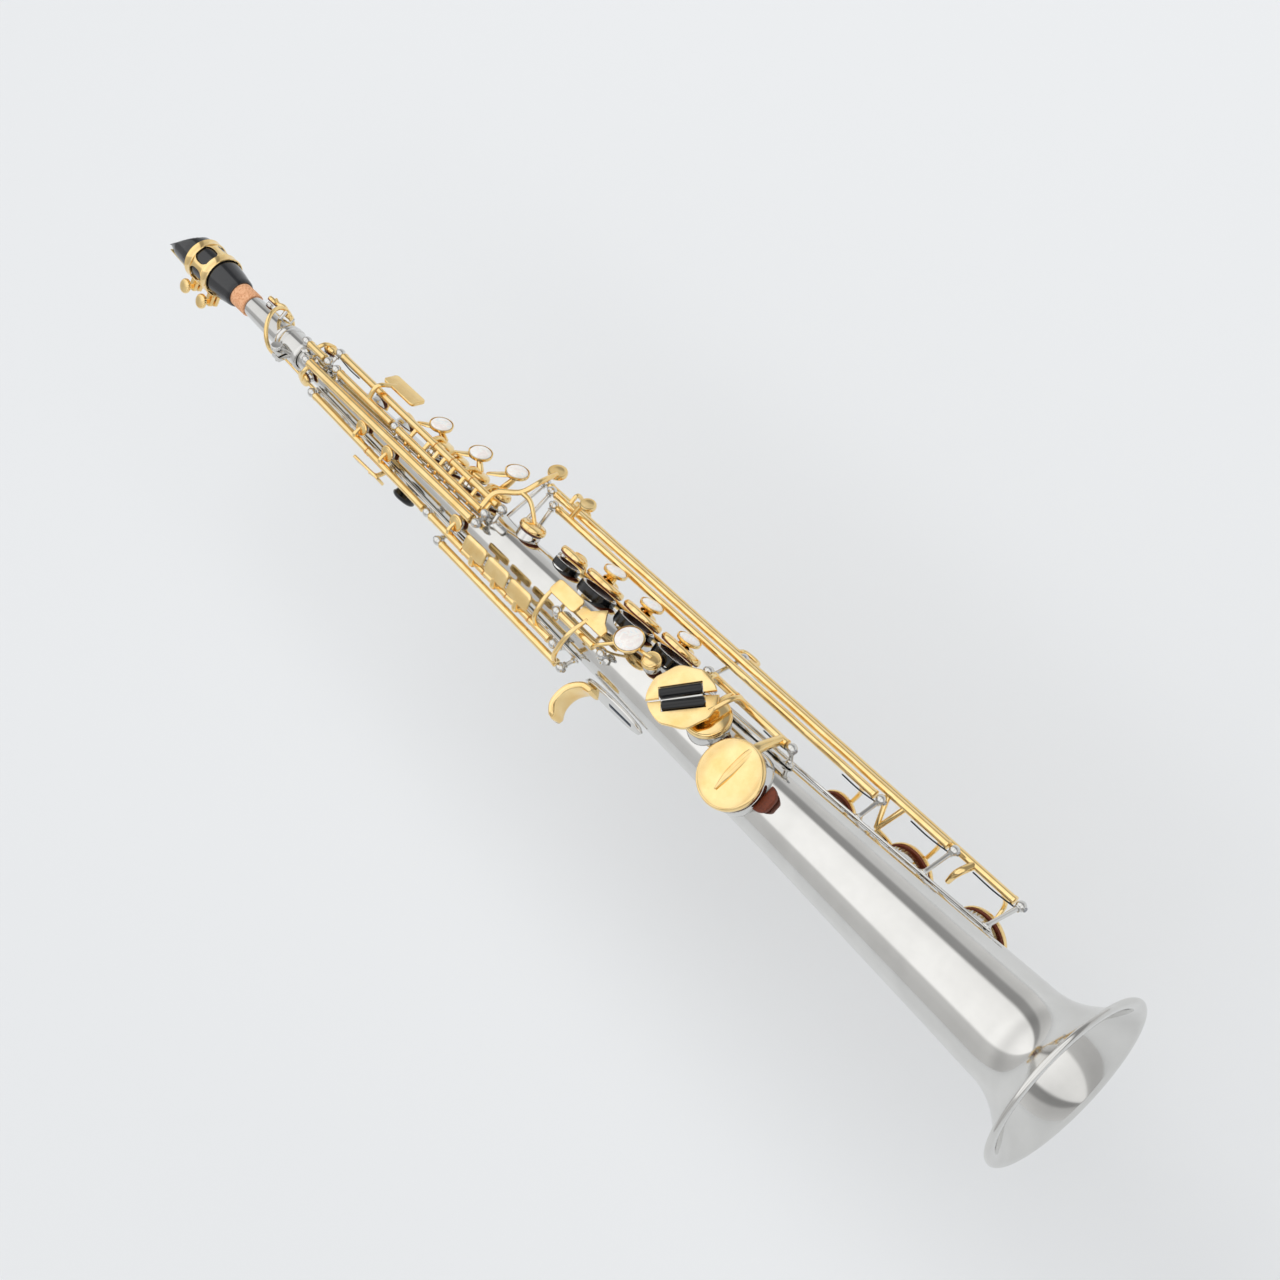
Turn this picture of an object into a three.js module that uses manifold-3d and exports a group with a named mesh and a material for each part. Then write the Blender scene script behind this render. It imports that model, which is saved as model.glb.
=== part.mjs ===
// Straight soprano saxophone, standing on its bell rim.
// Millimetres. The bore runs along +Z from the centre of the bell rim to the mouthpiece tip.
// Angles round the bore: 0 is the player's right hand side (-X), 90 the front with the finger keys (-Y),
// 180 the left hand side (+X) and -90 the thumb side (+Y).
import * as THREE from 'three';
import { mergeVertices } from 'three/addons/utils/BufferGeometryUtils.js';
import Module from 'manifold-3d';

const wasm = await Module();
wasm.setup();

// ---- driving dimensions ----------------------------------------------------------------------------

const rimRadius = 46.5;            // outside of the rolled bell rim
const rimBead = 1.5;               // radius of the rolled edge
const bellLength = 61;             // rim face to the soldered joint with the body tube
const flareLength = 34;            // rim face to where the bell starts to open out
const flarePower = 2.3;
const throatRadius = 25.2;         // outside radius at the start of the flare
const jointRadius = 23.8;          // outside radius at the joint with the body
const elbowHeight = 165;           // height where the taper of the body tube changes
const elbowRadius = 19.15;
const bodyTop = 566;               // upper end of the body tube
const bodyTopRadius = 6.55;
const tubeWall = 1.1;
const boreFacets = 24;

const chimneyWall = 0.9;
const cupOverlap = 1.0;            // how far a key cup stands out past its chimney
const cupHeight = 4.2;             // pad and cup together, measured along the chimney
const lowCupHeight = 2.2;          // the flat cups under the side rods
const gap = 0.35;                  // running clearance between separate pieces

const rodRadius = 2.0;             // hinge tubes
const wideRodRadius = 2.5;         // the long tube of the high E key
const armRadius = 1.1;
const postBall = 2.6;
const postStem = 1.25;
const postShoulder = 3.2;          // height above the tube where a post starts to lean to its hinge line
const ribWidth = 4;
const ribThickness = 1.2;

const pearlRadius = 5.6;
const pearlHeight = 2.4;
const pearlRim = 0.8;              // wall of the holder round a pearl

const receiverHeight = 17;
const receiverWall = 1.6;
const receiverOverlap = 5;         // how much of the receiver sits round the body tube
const neckLength = 60;             // shoulder of the tenon to the mouthpiece end of the neck
const neckBaseRadius = 7.2;
const neckTipRadius = 4.9;
const neckWall = 0.9;
const corkLength = 24;
const corkThickness = 1.7;

const mouthpieceLength = 62;
const mouthpieceInsert = 12;       // how far the cork goes into the mouthpiece
const shankRadius = 7.9;
const mouthpieceRadius = 11;
const beakLength = 17.5;
const tipDrop = 0.6;               // how far the tip lies inside the plane of the table under the reed
const reedWidth = 12.4;
const reedLength = 39;
const reedThickness = 2.4;
const reedEdgeGap = 0.02;          // between the reed's outer edges and the ligature's nearest flats
const ligatureFacets = 20;
const ligatureHeight = 17.5;
const ligatureWall = 0.7;
const mouthpieceTurn = -30;        // how far the mouthpiece is turned round the bore

const clusterRadius = 16.6;        // the two little-finger touches together
const clusterThickness = 2.0;
const rollerRadius = 2.6;
const rollerLength = 20;
const rollerBore = 0.9;

const hookReach = 22;              // thumb hook, from its plate outwards
const hookWidth = 15;
const hookThickness = 4;
const hookPlateLength = 42;
const hookPlateWidth = 11;

// ---- geometry helpers ------------------------------------------------------------------------------

const radians = THREE.MathUtils.degToRad;

// outside radius of the instrument's tube at a height
function tubeRadius(z) {
  const upper = elbowRadius + (bodyTopRadius - elbowRadius) * (z - elbowHeight) / (bodyTop - elbowHeight);
  const lower = jointRadius + (elbowRadius - jointRadius) * (z - bellLength) / (elbowHeight - bellLength);
  return z > elbowHeight ? upper : lower;
}

// a point at a height, a distance from the bore axis and an angle round it
function at(z, distance, degrees) {
  const a = radians(degrees);
  return new THREE.Vector3(-distance * Math.cos(a), -distance * Math.sin(a), z);
}

function outward(degrees) {
  return at(0, 1, degrees);
}

// a closed three.js geometry as a solid, turned the right way out
function solidOf(geometry) {
  const bare = geometry.index ? geometry.toNonIndexed() : geometry;
  bare.deleteAttribute('normal');
  bare.deleteAttribute('uv');
  const merged = mergeVertices(bare, 1e-4);
  const xyz = merged.attributes.position;
  const corners = [];
  let volume = 0;
  for (let i = 0; i < merged.index.count; i += 3) {
    const [a, b, c] = [0, 1, 2].map((k) => merged.index.getX(i + k));
    if (a === b || b === c || c === a) continue;
    corners.push([a, b, c]);
    const [p, q, r] = [a, b, c].map((k) => new THREE.Vector3().fromBufferAttribute(xyz, k));
    volume += p.dot(q.cross(r));
  }
  const triVerts = new Uint32Array(corners.flatMap(([a, b, c]) => (volume > 0 ? [a, b, c] : [a, c, b])));
  const vertProperties = new Float32Array(xyz.array);
  return new wasm.Manifold(new wasm.Mesh({ numProp: 3, vertProperties, triVerts }));
}

function join(solids) {
  return solids.reduce((whole, part) => whole.add(part));
}

function cut(solid, tools) {
  return tools.reduce((whole, tool) => whole.subtract(tool), solid);
}

// a rotation that takes the local x, y and z directions to the three given ones
function framed(x, y, z, origin) {
  return new THREE.Matrix4().makeBasis(x, y, z).setPosition(origin);
}

function rod(from, to, radius, sides = 6, endRadius = radius) {
  const along = to.clone().sub(from);
  const shape = new THREE.CylinderGeometry(endRadius, radius, along.length(), sides);
  const upright = new THREE.Vector3(0, 1, 0);
  const turn = new THREE.Quaternion().setFromUnitVectors(upright, along.clone().normalize());
  const middle = from.clone().lerp(to, 0.5);
  shape.applyMatrix4(new THREE.Matrix4().compose(middle, turn, new THREE.Vector3(1, 1, 1)));
  return solidOf(shape);
}

function ball(centre, radius) {
  const shape = new THREE.IcosahedronGeometry(radius, 0);
  shape.translate(centre.x, centre.y, centre.z);
  return solidOf(shape);
}

// a rod that bends through a list of points
function bentRod(points, radius = armRadius) {
  return join(points.slice(1).map((point, i) => rod(points[i], point, radius, 5)));
}

// a box whose long side runs along the bore, with its face square to an angle
function plate(z, distance, degrees, length, width, thickness) {
  const shape = new THREE.BoxGeometry(thickness, width, length);
  const out = outward(degrees);
  const up = new THREE.Vector3(0, 0, 1);
  shape.applyMatrix4(framed(out, up.clone().cross(out), up, at(z, distance, degrees)));
  return solidOf(shape);
}

// a flat outline, drawn in the plane square to an angle: first coordinate along the bore, second round it
function flatPiece(outline, z, distance, degrees, thickness, turn = 0) {
  const settings = { depth: thickness, bevelEnabled: false, curveSegments: 6 };
  const shape = new THREE.ExtrudeGeometry(outline, settings);
  shape.rotateZ(radians(turn));
  const out = outward(degrees);
  const up = new THREE.Vector3(0, 0, 1);
  shape.applyMatrix4(framed(up, out.clone().cross(up), out, at(z, distance, degrees)));
  return solidOf(shape);
}

// a disc whose thickness runs outwards from the bore
function disc(z, distance, degrees, radius, thickness, sides = 12) {
  return rod(at(z, distance, degrees), at(z, distance + thickness, degrees), radius, sides);
}

function turned(profile, facets = boreFacets) {
  const points = profile.map(([radius, z]) => new THREE.Vector2(radius, z));
  const shape = new THREE.LatheGeometry(points, facets);
  shape.rotateX(Math.PI / 2);
  return solidOf(shape);
}

const metal = (colour, roughness) => ({ color: colour, roughness, metalness: 1 });
const finishes = {
  silver: metal(0xd9dadb, 0.16),
  gold: metal(0xe3b66a, 0.2),
  cork: { color: 0xd9a274, roughness: 0.9, metalness: 0 },
  rubber: { color: 0x17191d, roughness: 0.25, metalness: 0 },
  cane: { color: 0xd8c078, roughness: 0.7, metalness: 0 },
  pearl: { color: 0xe6e8ea, roughness: 0.2, metalness: 0 },
  plastic: { color: 0x131417, roughness: 0.3, metalness: 0 },
};

function piece(name, solid, finish) {
  const mesh = solid.simplify(0.04).getMesh();
  const geometry = new THREE.BufferGeometry();
  geometry.setAttribute('position', new THREE.BufferAttribute(Float32Array.from(mesh.vertProperties), 3));
  geometry.setIndex(new THREE.BufferAttribute(Uint32Array.from(mesh.triVerts), 1));
  const part = new THREE.Mesh(geometry, new THREE.MeshStandardMaterial(finishes[finish]));
  part.name = name;
  return part;
}

const saxophone = new THREE.Group();

// ---- tone holes: height, angle, radius of the hole and height of the chimney above the tube ---------

const toneHoles = {
  low_bb: { z: 79, angle: 143, radius: 13.3, height: 4.6 },
  low_b: { z: 123, angle: 143, radius: 12.9, height: 4.6 },
  c_sharp: { z: 166, angle: 143, radius: 9.8, height: 4.4 },
  low_c: { z: 195, angle: -9.5, radius: 14.9, height: 5.4 },
  low_eb: { z: 226, angle: 20, radius: 9.6, height: 3.9 },
  d: { z: 270, angle: 80, radius: 9.7, height: 2.6 },
  e: { z: 297.5, angle: 80, radius: 9.5, height: 2.6 },
  f: { z: 325, angle: 80, radius: 9.2, height: 2.6 },
  f_sharp: { z: 348.5, angle: 80, radius: 6.1, height: 2.6 },
  g_sharp: { z: 376, angle: 70, radius: 5.4, height: 2.6 },
  g: { z: 407, angle: 80, radius: 5.2, height: 2.4 },
  a: { z: 424, angle: 80, radius: 4.9, height: 2.4 },
  bis: { z: 439, angle: 80, radius: 3.9, height: 2.4 },
  b: { z: 453, angle: 80, radius: 4.4, height: 2.4 },
  side_bb: { z: 408, angle: -36, radius: 2.7, height: 1.0 },
  side_c: { z: 470, angle: -36, radius: 2.6, height: 1.0 },
  high_fs: { z: 494, angle: -36, radius: 2.4, height: 1.0 },
  high_e: { z: 548, angle: -60, radius: 2.6, height: 1.6 },
  high_f: { z: 549, angle: 75, radius: 2.8, height: 3.2 },
  palm_eb: { z: 508, angle: 115, radius: 3.2, height: 2.4 },
  palm_d: { z: 486, angle: 115, radius: 3.6, height: 2.4 },
  trill: { z: 269, angle: 26, radius: 3.2, height: 2.4 },
};

// ---- body tube and bell ----------------------------------------------------------------------------

function bodyTube() {
  const low = bellLength + gap;
  const cone = (wall, spare) => {
    const side = [low - spare, elbowHeight, bodyTop + spare].map((z) => [tubeRadius(z) - wall, z]);
    return [[0, low - spare], ...side, [0, bodyTop + spare]];
  };
  const facets = (radius) => (radius > 8 ? 14 : 8);
  const chimneys = Object.values(toneHoles).map(({ z, angle, radius, height }) => (
    rod(at(z, 1, angle), at(z, tubeRadius(z) + height, angle), radius + chimneyWall, facets(radius))));
  const holes = Object.values(toneHoles).map(({ z, angle, radius, height }) => (
    rod(at(z, 2, angle), at(z, tubeRadius(z) + height + 1, angle), radius, facets(radius))));
  return cut(join([turned(cone(0, 0)), ...chimneys]), [turned(cone(tubeWall, 1)), ...holes]);
}

// outside radius of the bell: a straight cone, then a flare that opens as a power of the distance
function bellOutside(z) {
  const opening = Math.max(0, 1 - z / flareLength);
  const cone = jointRadius + (throatRadius - jointRadius) * (bellLength - z) / (bellLength - flareLength);
  return z > flareLength ? cone : throatRadius + (rimRadius - rimBead - throatRadius) * opening ** flarePower;
}

function bell() {
  const steps = [0.5, 0.28, 0.12].map((share) => share * flareLength);
  const heights = [bellLength, flareLength, 0.75 * flareLength, ...steps];
  const outside = heights.map((z) => [bellOutside(z), z]);
  const inside = [...heights].reverse().map((z) => [bellOutside(z + 1.2) - tubeWall, z]);
  const bead = [
    [rimRadius - 0.5, 2 * rimBead],
    [rimRadius, rimBead],
    [rimRadius - 0.5, 0],
    [rimRadius - 2 * rimBead, 0],
  ];
  const profile = [...outside, ...bead, ...inside];
  return turned([...profile, profile[0]], 36);
}

saxophone.add(piece('body_tube', bodyTube(), 'silver'));
saxophone.add(piece('bell', bell(), 'silver'));

// ---- hinge lines: each runs straight between two points that stand off the tube --------------------

const lines = {
  stack: { low: [390, 8.2, 38], high: [538, 9.4, 56] },
  front: { low: [395, 6.0, 17], high: [559, 6.3, 30] },
  side: { low: [395, 5.6, -4], high: [549, 5.8, -4] },
  thumb: { low: [319, 5.8, -59], high: [536, 5.8, -59] },
  outer: { low: [309, 9.6, -73], high: [412, 10.4, -73] },
  trill: { low: [290.5, 5.0, -14], high: [325, 5.0, -14] },
  lower: { low: [187, 10.6, 54], high: [247, 9.6, 64] },
  right_stack: { low: [254, 8.2, 130], high: [364, 8.2, 130] },
  bell_c_sharp: { low: [149, 15, 101], high: [384, 20, 101] },
  bell_b: { low: [109, 19.4, 104.5], high: [393, 25.6, 104.5] },
  bell_bb: { low: [72, 21.6, 112], high: [403, 29.0, 112] },
  palm: { low: [470, 6.4, 155], high: [524, 6.4, 155] },
  octave: { low: [462, 6.2, -145], high: [512, 6.2, -145] },
};

function lineEnd([z, standoff, angle]) {
  return at(z, tubeRadius(z) + standoff, angle);
}

// the point of a hinge line at a height
function onLine(name, z) {
  const low = lineEnd(lines[name].low);
  const high = lineEnd(lines[name].high);
  return low.clone().lerp(high, (z - low.z) / (high.z - low.z));
}

// ---- ribs: straps soldered to the tube, each with the posts that carry the hinge lines --------------

function rib(angle, low, high, posts) {
  const lift = gap + ribThickness / 2;
  const from = at(low, tubeRadius(low) + lift, angle);
  const to = at(high, tubeRadius(high) + lift, angle);
  const along = to.clone().sub(from);
  const across = new THREE.Vector3(0, 0, 1).cross(outward(angle));
  const face = across.clone().cross(along).normalize();
  const strap = new THREE.BoxGeometry(ribThickness, ribWidth, along.length());
  strap.applyMatrix4(framed(face.negate(), across, along.normalize(), from.clone().lerp(to, 0.5)));
  const stands = posts.flatMap(([line, z]) => {
    const head = onLine(line, z);
    const foot = at(z, tubeRadius(z) + lift, angle);
    const shoulder = at(z, tubeRadius(z) + postShoulder, angle);
    return [bentRod([foot, shoulder, head], postStem), ball(head, postBall)];
  });
  return join([solidOf(strap), ...stands]);
}

const ribs = {
  upper_rib: [22, 382, 560, [['stack', 390], ['stack', 538], ['front', 395], ['front', 474.5],
    ['front', 530], ['front', 538], ['front', 559], ['side', 395], ['side', 549]]],
  thumb_rib: [-80, 307, 540, [['thumb', 319], ['thumb', 427], ['thumb', 536], ['outer', 309],
    ['outer', 412], ['octave', 462], ['octave', 512]]],
  side_rib: [-22, 287, 329, [['trill', 290.5], ['trill', 325]]],
  lower_rib: [64, 184, 250, [['lower', 187], ['lower', 247]]],
  bell_rib: [94, 69, 255, [['bell_bb', 72], ['bell_bb', 252.5], ['bell_b', 109], ['bell_c_sharp', 149]]],
  left_rib: [134, 251, 407, [['right_stack', 254], ['right_stack', 364], ['bell_bb', 403],
    ['bell_b', 393], ['bell_c_sharp', 384]]],
  palm_rib: [162, 467, 527, [['palm', 470], ['palm', 524]]],
};
for (const [name, shape] of Object.entries(ribs)) {
  saxophone.add(piece(name, rib(...shape), 'silver'));
}

// ---- keys ------------------------------------------------------------------------------------------

function hingeTube(line, low, high, radius = rodRadius) {
  return rod(onLine(line, low), onLine(line, high), radius, 8);
}

function cupFloor(hole) {
  return tubeRadius(hole.z) + hole.height + gap;
}

// a key cup with its pad, closed on its chimney
function lid(name, height = cupHeight) {
  const hole = toneHoles[name];
  return disc(hole.z, cupFloor(hole), hole.angle, hole.radius + chimneyWall + cupOverlap, height,
    hole.radius > 12 ? 20 : 12);
}

// a key cup and the bowed arm that carries it from the hinge line
function cup(name, line, armHeight = toneHoles[name].z, height = cupHeight) {
  const hole = toneHoles[name];
  const top = cupFloor(hole) + height - 0.3;
  const foot = onLine(line, armHeight);
  const footAngle = THREE.MathUtils.radToDeg(Math.atan2(-foot.y, -foot.x));
  const bow = Math.max(top, Math.hypot(foot.x, foot.y)) + 0.4;
  const middle = at((armHeight + hole.z) / 2, bow, (footAngle + hole.angle) / 2);
  return join([lid(name, height), bentRod([foot, middle, at(hole.z, top, hole.angle)])]);
}

// the metal cup that holds a pearl, on a stem from the middle of a key cup
function pearlHolder(hole, z, distance, angle, radius = pearlRadius, stemRadius = 1.7) {
  const floor = cupFloor(toneHoles[hole]) + cupHeight;
  const seat = disc(z, distance - pearlRim, angle, radius + pearlRim, pearlRim, 10);
  const stem = bentRod([at(toneHoles[hole].z, floor - 1, toneHoles[hole].angle),
    at(z, distance - pearlRim - 1.2, angle), at(z, distance - 0.3, angle)], stemRadius);
  return join([seat, stem]);
}

// a key turns on its hinge line; openAngle is how far it stands off its closed place at rest
function key(name, line, solids, openAngle = 0) {
  const low = lineEnd(lines[line].low);
  const axis = lineEnd(lines[line].high).sub(low).normalize();
  const part = piece(name, join(solids), 'gold');
  part.position.copy(low).negate();
  const pivot = new THREE.Group();
  pivot.add(part);
  pivot.position.copy(low);
  pivot.quaternion.setFromAxisAngle(axis, radians(openAngle));
  pivot.userData.hinge = { key: name, point: low.toArray(), axis: axis.toArray(), openAngle };
  saxophone.add(pivot);
  return pivot;
}

// a pearl goes into a key's holder and moves with the key
function pearl(pivot, name, z, distance, angle, radius = pearlRadius) {
  const part = piece(name, disc(z, distance + gap, angle, radius, pearlHeight, 10), 'pearl');
  part.position.copy(pivot.position).negate();
  pivot.add(part);
}

// left hand stack: B, bis, A and G, hinged beside the cups on the right
const leftLift = -6;
const leftStack = [
  { hole: 'b', low: 447.5, high: 534.7, pearl: [459, 22.4, 74] },
  { hole: 'bis', low: 433, high: 447.1, height: 3.4 },
  { hole: 'a', low: 416, high: 432.6, pearl: [428, 25.5, 74] },
  { hole: 'g', low: 393.3, high: 415.6, pearl: [402.5, 31, 75] },
];
for (const { hole, low, high, height, pearl: seat } of leftStack) {
  const solids = [hingeTube('stack', low, high), cup(hole, 'stack', undefined, height)];
  if (seat) solids.push(pearlHolder(hole, ...seat));
  const pivot = key(`key_${hole}`, 'stack', solids, leftLift);
  if (seat) pearl(pivot, `pearl_${hole}`, ...seat);
}

// right hand stack: the F sharp cup that follows, then F, E and D
const rightLift = 6;
const rightPearlDistance = 26;
const rightStack = [
  { hole: 'f_sharp', low: 341.6, high: 361 },
  { hole: 'f', low: 312.6, high: 341.2 },
  { hole: 'e', low: 284.6, high: 312.2 },
  { hole: 'd', low: 257.4, high: 284.2 },
];
for (const { hole, low, high } of rightStack) {
  const solids = [hingeTube('right_stack', low, high), cup(hole, 'right_stack')];
  const seat = [toneHoles[hole].z, rightPearlDistance, toneHoles[hole].angle];
  if (hole !== 'f_sharp') solids.push(pearlHolder(hole, ...seat));
  const pivot = key(`key_${hole}`, 'right_stack', solids, rightLift);
  if (hole !== 'f_sharp') pearl(pivot, `pearl_${hole}`, ...seat);
}

// a touch plate with the rod that joins it to its hinge line
function touch(line, armHeight, z, distance, angle, length, width) {
  const pad = plate(z, distance, angle, length, width, 1.5);
  const edge = at(z, distance, angle);
  return join([pad, bentRod([onLine(line, armHeight), edge])]);
}

// G sharp: its tube ends in a curved arm that reaches the little finger table
const gSharpBend = at(391, 31, 58);
const gSharpTop = cupFloor(toneHoles.g_sharp) + cupHeight - 0.3;
key('key_g_sharp', 'front', [
  hingeTube('front', 398.2, 471.3),
  lid('g_sharp'),
  bentRod([onLine('front', 399.4), at(397, 24.5, 32), gSharpBend, at(387, 37, 74), at(389, 42.6, 90)]),
  bentRod([gSharpBend, at(toneHoles.g_sharp.z, gSharpTop, toneHoles.g_sharp.angle)]),
  plate(393, 43, 92, 12, 8, 1.6),
]);

// side keys: cups beside the long tubes, worked by three touches on the same line below them
key('key_high_e', 'side', [
  hingeTube('side', 398.2, 545.8, wideRodRadius),
  cup('high_e', 'side', 544.6, lowCupHeight + 0.8),
]);
const sideCups = [
  { name: 'high_fs', low: 481.6, high: 532.8 },
  { name: 'side_c', low: 430.2, high: 481.2 },
  { name: 'side_bb', low: 395, high: 423.8 },
];
for (const { name, low, high } of sideCups) {
  key(`key_${name}`, 'thumb', [hingeTube('thumb', low, high), cup(name, 'thumb', undefined, lowCupHeight)]);
}

const sideTouchStandoff = 9.4;
const sideTouches = [
  { name: 'touch_high_e', low: 376, high: 394.6, z: 383.5 },
  { name: 'touch_side_c', low: 357, high: 375.6, z: 365 },
  { name: 'touch_side_bb', low: 338.2, high: 356.6, z: 346.5 },
];
for (const { name, low, high, z } of sideTouches) {
  const reach = tubeRadius(z) + sideTouchStandoff;
  const web = rod(onLine('thumb', z), at(z, reach, -41), 1.5, 6);
  key(name, 'thumb', [hingeTube('thumb', low, high), plate(z, reach, -31, 16.4, 9, 1.5), web]);
}

// two flat plates for the right hand, each carried round to a tube on the thumb side
const plateStandoff = 8.2;
const sharpPlate = 324.6;
key('key_side_fs', 'thumb', [
  hingeTube('thumb', 322.2, 337.8),
  plate(sharpPlate, tubeRadius(sharpPlate) + plateStandoff, 10, 19.4, 8.4, 1.5),
  bentRod([onLine('thumb', 333), at(333, tubeRadius(333) + 8.4, -38), at(333, tubeRadius(333) + 8.4, -14),
    at(333, tubeRadius(333) + plateStandoff, 4)]),
]);
const pointedPlate = 303.4;
const pointedOutline = new THREE.Shape([[-9.6, 4.4], [-9.6, 0.2], [-5.4, -1.8], [-1, -7.4], [4.6, -1.6],
  [9.6, -1.6], [9.6, 4.4]].map(([x, y]) => new THREE.Vector2(x, y)));
key('lever_high_fs', 'outer', [
  hingeTube('outer', 312.2, 408.8),
  flatPiece(pointedOutline, pointedPlate, tubeRadius(pointedPlate) + plateStandoff, 12, 1.5),
  bentRod([onLine('outer', 313.6), at(311, 26, -50), at(308, 26, -20), at(306, 23.8, 6)]),
]);

// trill key of the right hand, with the oval pearl
const trillSeat = [283.3, 23.6, 22, 6.9];
const trillStem = 0.9;
const trillKey = key('key_trill', 'trill', [
  hingeTube('trill', 296.2, 321.8),
  lid('trill'),
  pearlHolder('trill', ...trillSeat, trillStem),
  bentRod([onLine('trill', 297), at(292.4, 22.4, -4), at(286, 22.8, 13)], trillStem),
]);
pearl(trillKey, 'pearl_trill', ...trillSeat);

// front F touch and the small top cup that it opens
key('lever_front_f', 'front', [
  hingeTube('front', 477.6, 526.6),
  bentRod([onLine('front', 500), at(499, 22.4, 42), at(496, 22.6, 74)]),
  plate(491, 22.4, 77, 24, 9, 1.8),
]);
key('key_high_f', 'front', [hingeTube('front', 541.2, 555.8), cup('high_f', 'front', 551)]);

// palm keys of the left hand: cup and touch on either side of the hinge
const palmKeys = [
  { hole: 'palm_eb', low: 497.4, high: 520.8, touchHeight: 500, reach: 23 },
  { hole: 'palm_d', low: 473.2, high: 497, touchHeight: 478, reach: 26 },
];
for (const { hole, low, high, touchHeight, reach } of palmKeys) {
  key(`key_${hole}`, 'palm', [
    hingeTube('palm', low, high),
    cup(hole, 'palm'),
    touch('palm', touchHeight + 4, touchHeight, reach, 184, 17, 9),
  ]);
}

// little finger keys of the right hand: E flat and C, two halves of one round touch with a roller each
const clusterHeight = 237.4;
const clusterAngle = 11;
const clusterReach = 31;
const clusterTurn = 52;
const notchHalf = rollerLength / 2 + gap;
const clusterSplit = 1.1;          // half the space between the two touches
const notchDepth = clusterSplit + 2 * rollerRadius + gap;
const rollerMiddle = clusterSplit + rollerRadius;

function clusterHalf(reach, turn) {
  const start = Math.asin(clusterSplit / clusterRadius);
  const outline = new THREE.Shape();
  outline.moveTo(-clusterRadius * Math.cos(start), clusterSplit);
  [[-notchHalf, clusterSplit], [-notchHalf, notchDepth], [notchHalf, notchDepth], [notchHalf, clusterSplit]]
    .forEach(([x, y]) => outline.lineTo(x, y));
  outline.absarc(0, 0, clusterRadius, start, Math.PI - start);
  return flatPiece(outline, clusterHeight, reach, clusterAngle, clusterThickness, turn);
}

// the frame of a cluster half: along its roller, across it and outwards
function clusterPoint(reach, turn, along, across) {
  const out = outward(clusterAngle);
  const up = new THREE.Vector3(0, 0, 1);
  const round = out.clone().cross(up);
  const local = new THREE.Vector2(along, across).rotateAround(new THREE.Vector2(), radians(turn));
  return at(clusterHeight, reach + clusterThickness / 2, clusterAngle)
    .addScaledVector(up, local.x).addScaledVector(round, local.y);
}

// a point in the middle of the cluster's thickness, at a height and an angle away from its centre
function onCluster(z, reach, away) {
  return at(z, (reach + clusterThickness / 2) / Math.cos(radians(away)), clusterAngle + away);
}

function rollerPin(reach, turn) {
  const reachAlong = notchHalf + 0.6;
  return rod(clusterPoint(reach, turn, -reachAlong, rollerMiddle),
    clusterPoint(reach, turn, reachAlong, rollerMiddle), 0.6, 6);
}

function roller(pivot, name, reach, turn) {
  const from = clusterPoint(reach, turn, -rollerLength / 2, rollerMiddle);
  const to = clusterPoint(reach, turn, rollerLength / 2, rollerMiddle);
  const past = to.clone().sub(from).setLength(1);
  const bore = rod(from.clone().sub(past), to.clone().add(past), rollerBore, 8);
  const drum = cut(rod(from, to, rollerRadius, 14), [bore]);
  const part = piece(name, drum, 'plastic');
  part.position.copy(pivot.position).negate();
  part.userData.spin = { roller: name, from: from.toArray(), to: to.toArray() };
  pivot.add(part);
}

const cOpen = 4;
const cTouchReach = clusterReach - 1.9;
const ebTurn = clusterTurn + 180;
const ebKey = key('key_low_eb', 'lower', [
  hingeTube('lower', 226.4, 243.6),
  clusterHalf(clusterReach, ebTurn),
  rollerPin(clusterReach, ebTurn),
  bentRod([onLine('lower', 238), at(236, 34.6, 42), onCluster(235, clusterReach, 25)]),
  cup('low_eb', 'lower', 229),
]);
roller(ebKey, 'roller_eb', clusterReach, ebTurn);
const cKey = key('key_low_c', 'lower', [
  hingeTube('lower', 190.2, 226),
  clusterHalf(cTouchReach, clusterTurn),
  rollerPin(cTouchReach, clusterTurn),
  bentRod([onLine('lower', 219), at(221, 33, 42), onCluster(223.5, cTouchReach, 6)], 1.3),
  cup('low_c', 'lower', 194),
], cOpen);
roller(cKey, 'roller_c', cTouchReach, clusterTurn);

// bell keys: long tubes on the left, worked by the little finger of the left hand
const bellLift = -5;
key('key_c_sharp', 'bell_c_sharp', [
  hingeTube('bell_c_sharp', 152.4, 380.6),
  cup('c_sharp', 'bell_c_sharp', 161),
  bentRod([onLine('bell_c_sharp', 372), at(372, 43, 92)]),
  plate(371, 43, 91, 15, 9, 1.6),
]);
key('key_low_b', 'bell_b', [
  hingeTube('bell_b', 112.4, 389.6),
  cup('low_b', 'bell_b', 118),
  bentRod([onLine('bell_b', 380), at(380, 44.6, 103), at(380, 46, 114), at(380, 45, 122)]),
  plate(380, 45, 122, 12, 9, 1.5),
], bellLift);
key('key_low_bb', 'bell_bb', [
  hingeTube('bell_bb', 75.4, 249.1),
  hingeTube('bell_bb', 255.9, 399.6),
  bentRod([onLine('bell_bb', 247), at(247, 47.6, 117), at(258, 47.4, 117), onLine('bell_bb', 258)]),
  cup('low_bb', 'bell_bb', 83),
  touch('bell_bb', 362, 362, 45, 125, 16, 9),
], bellLift);

// octave lever: thumb touch, tube and the long arm up to the ring of the neck key
key('lever_octave', 'octave', [
  hingeTube('octave', 465.2, 508.8),
  touch('octave', 478, 478, 20.5, -86, 22, 10),
  bentRod([onLine('octave', 504), at(508, 18.4, -142), at(520, 17.4, -141), at(580.4, 13.4, -140)]),
]);

// ---- neck ------------------------------------------------------------------------------------------

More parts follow.
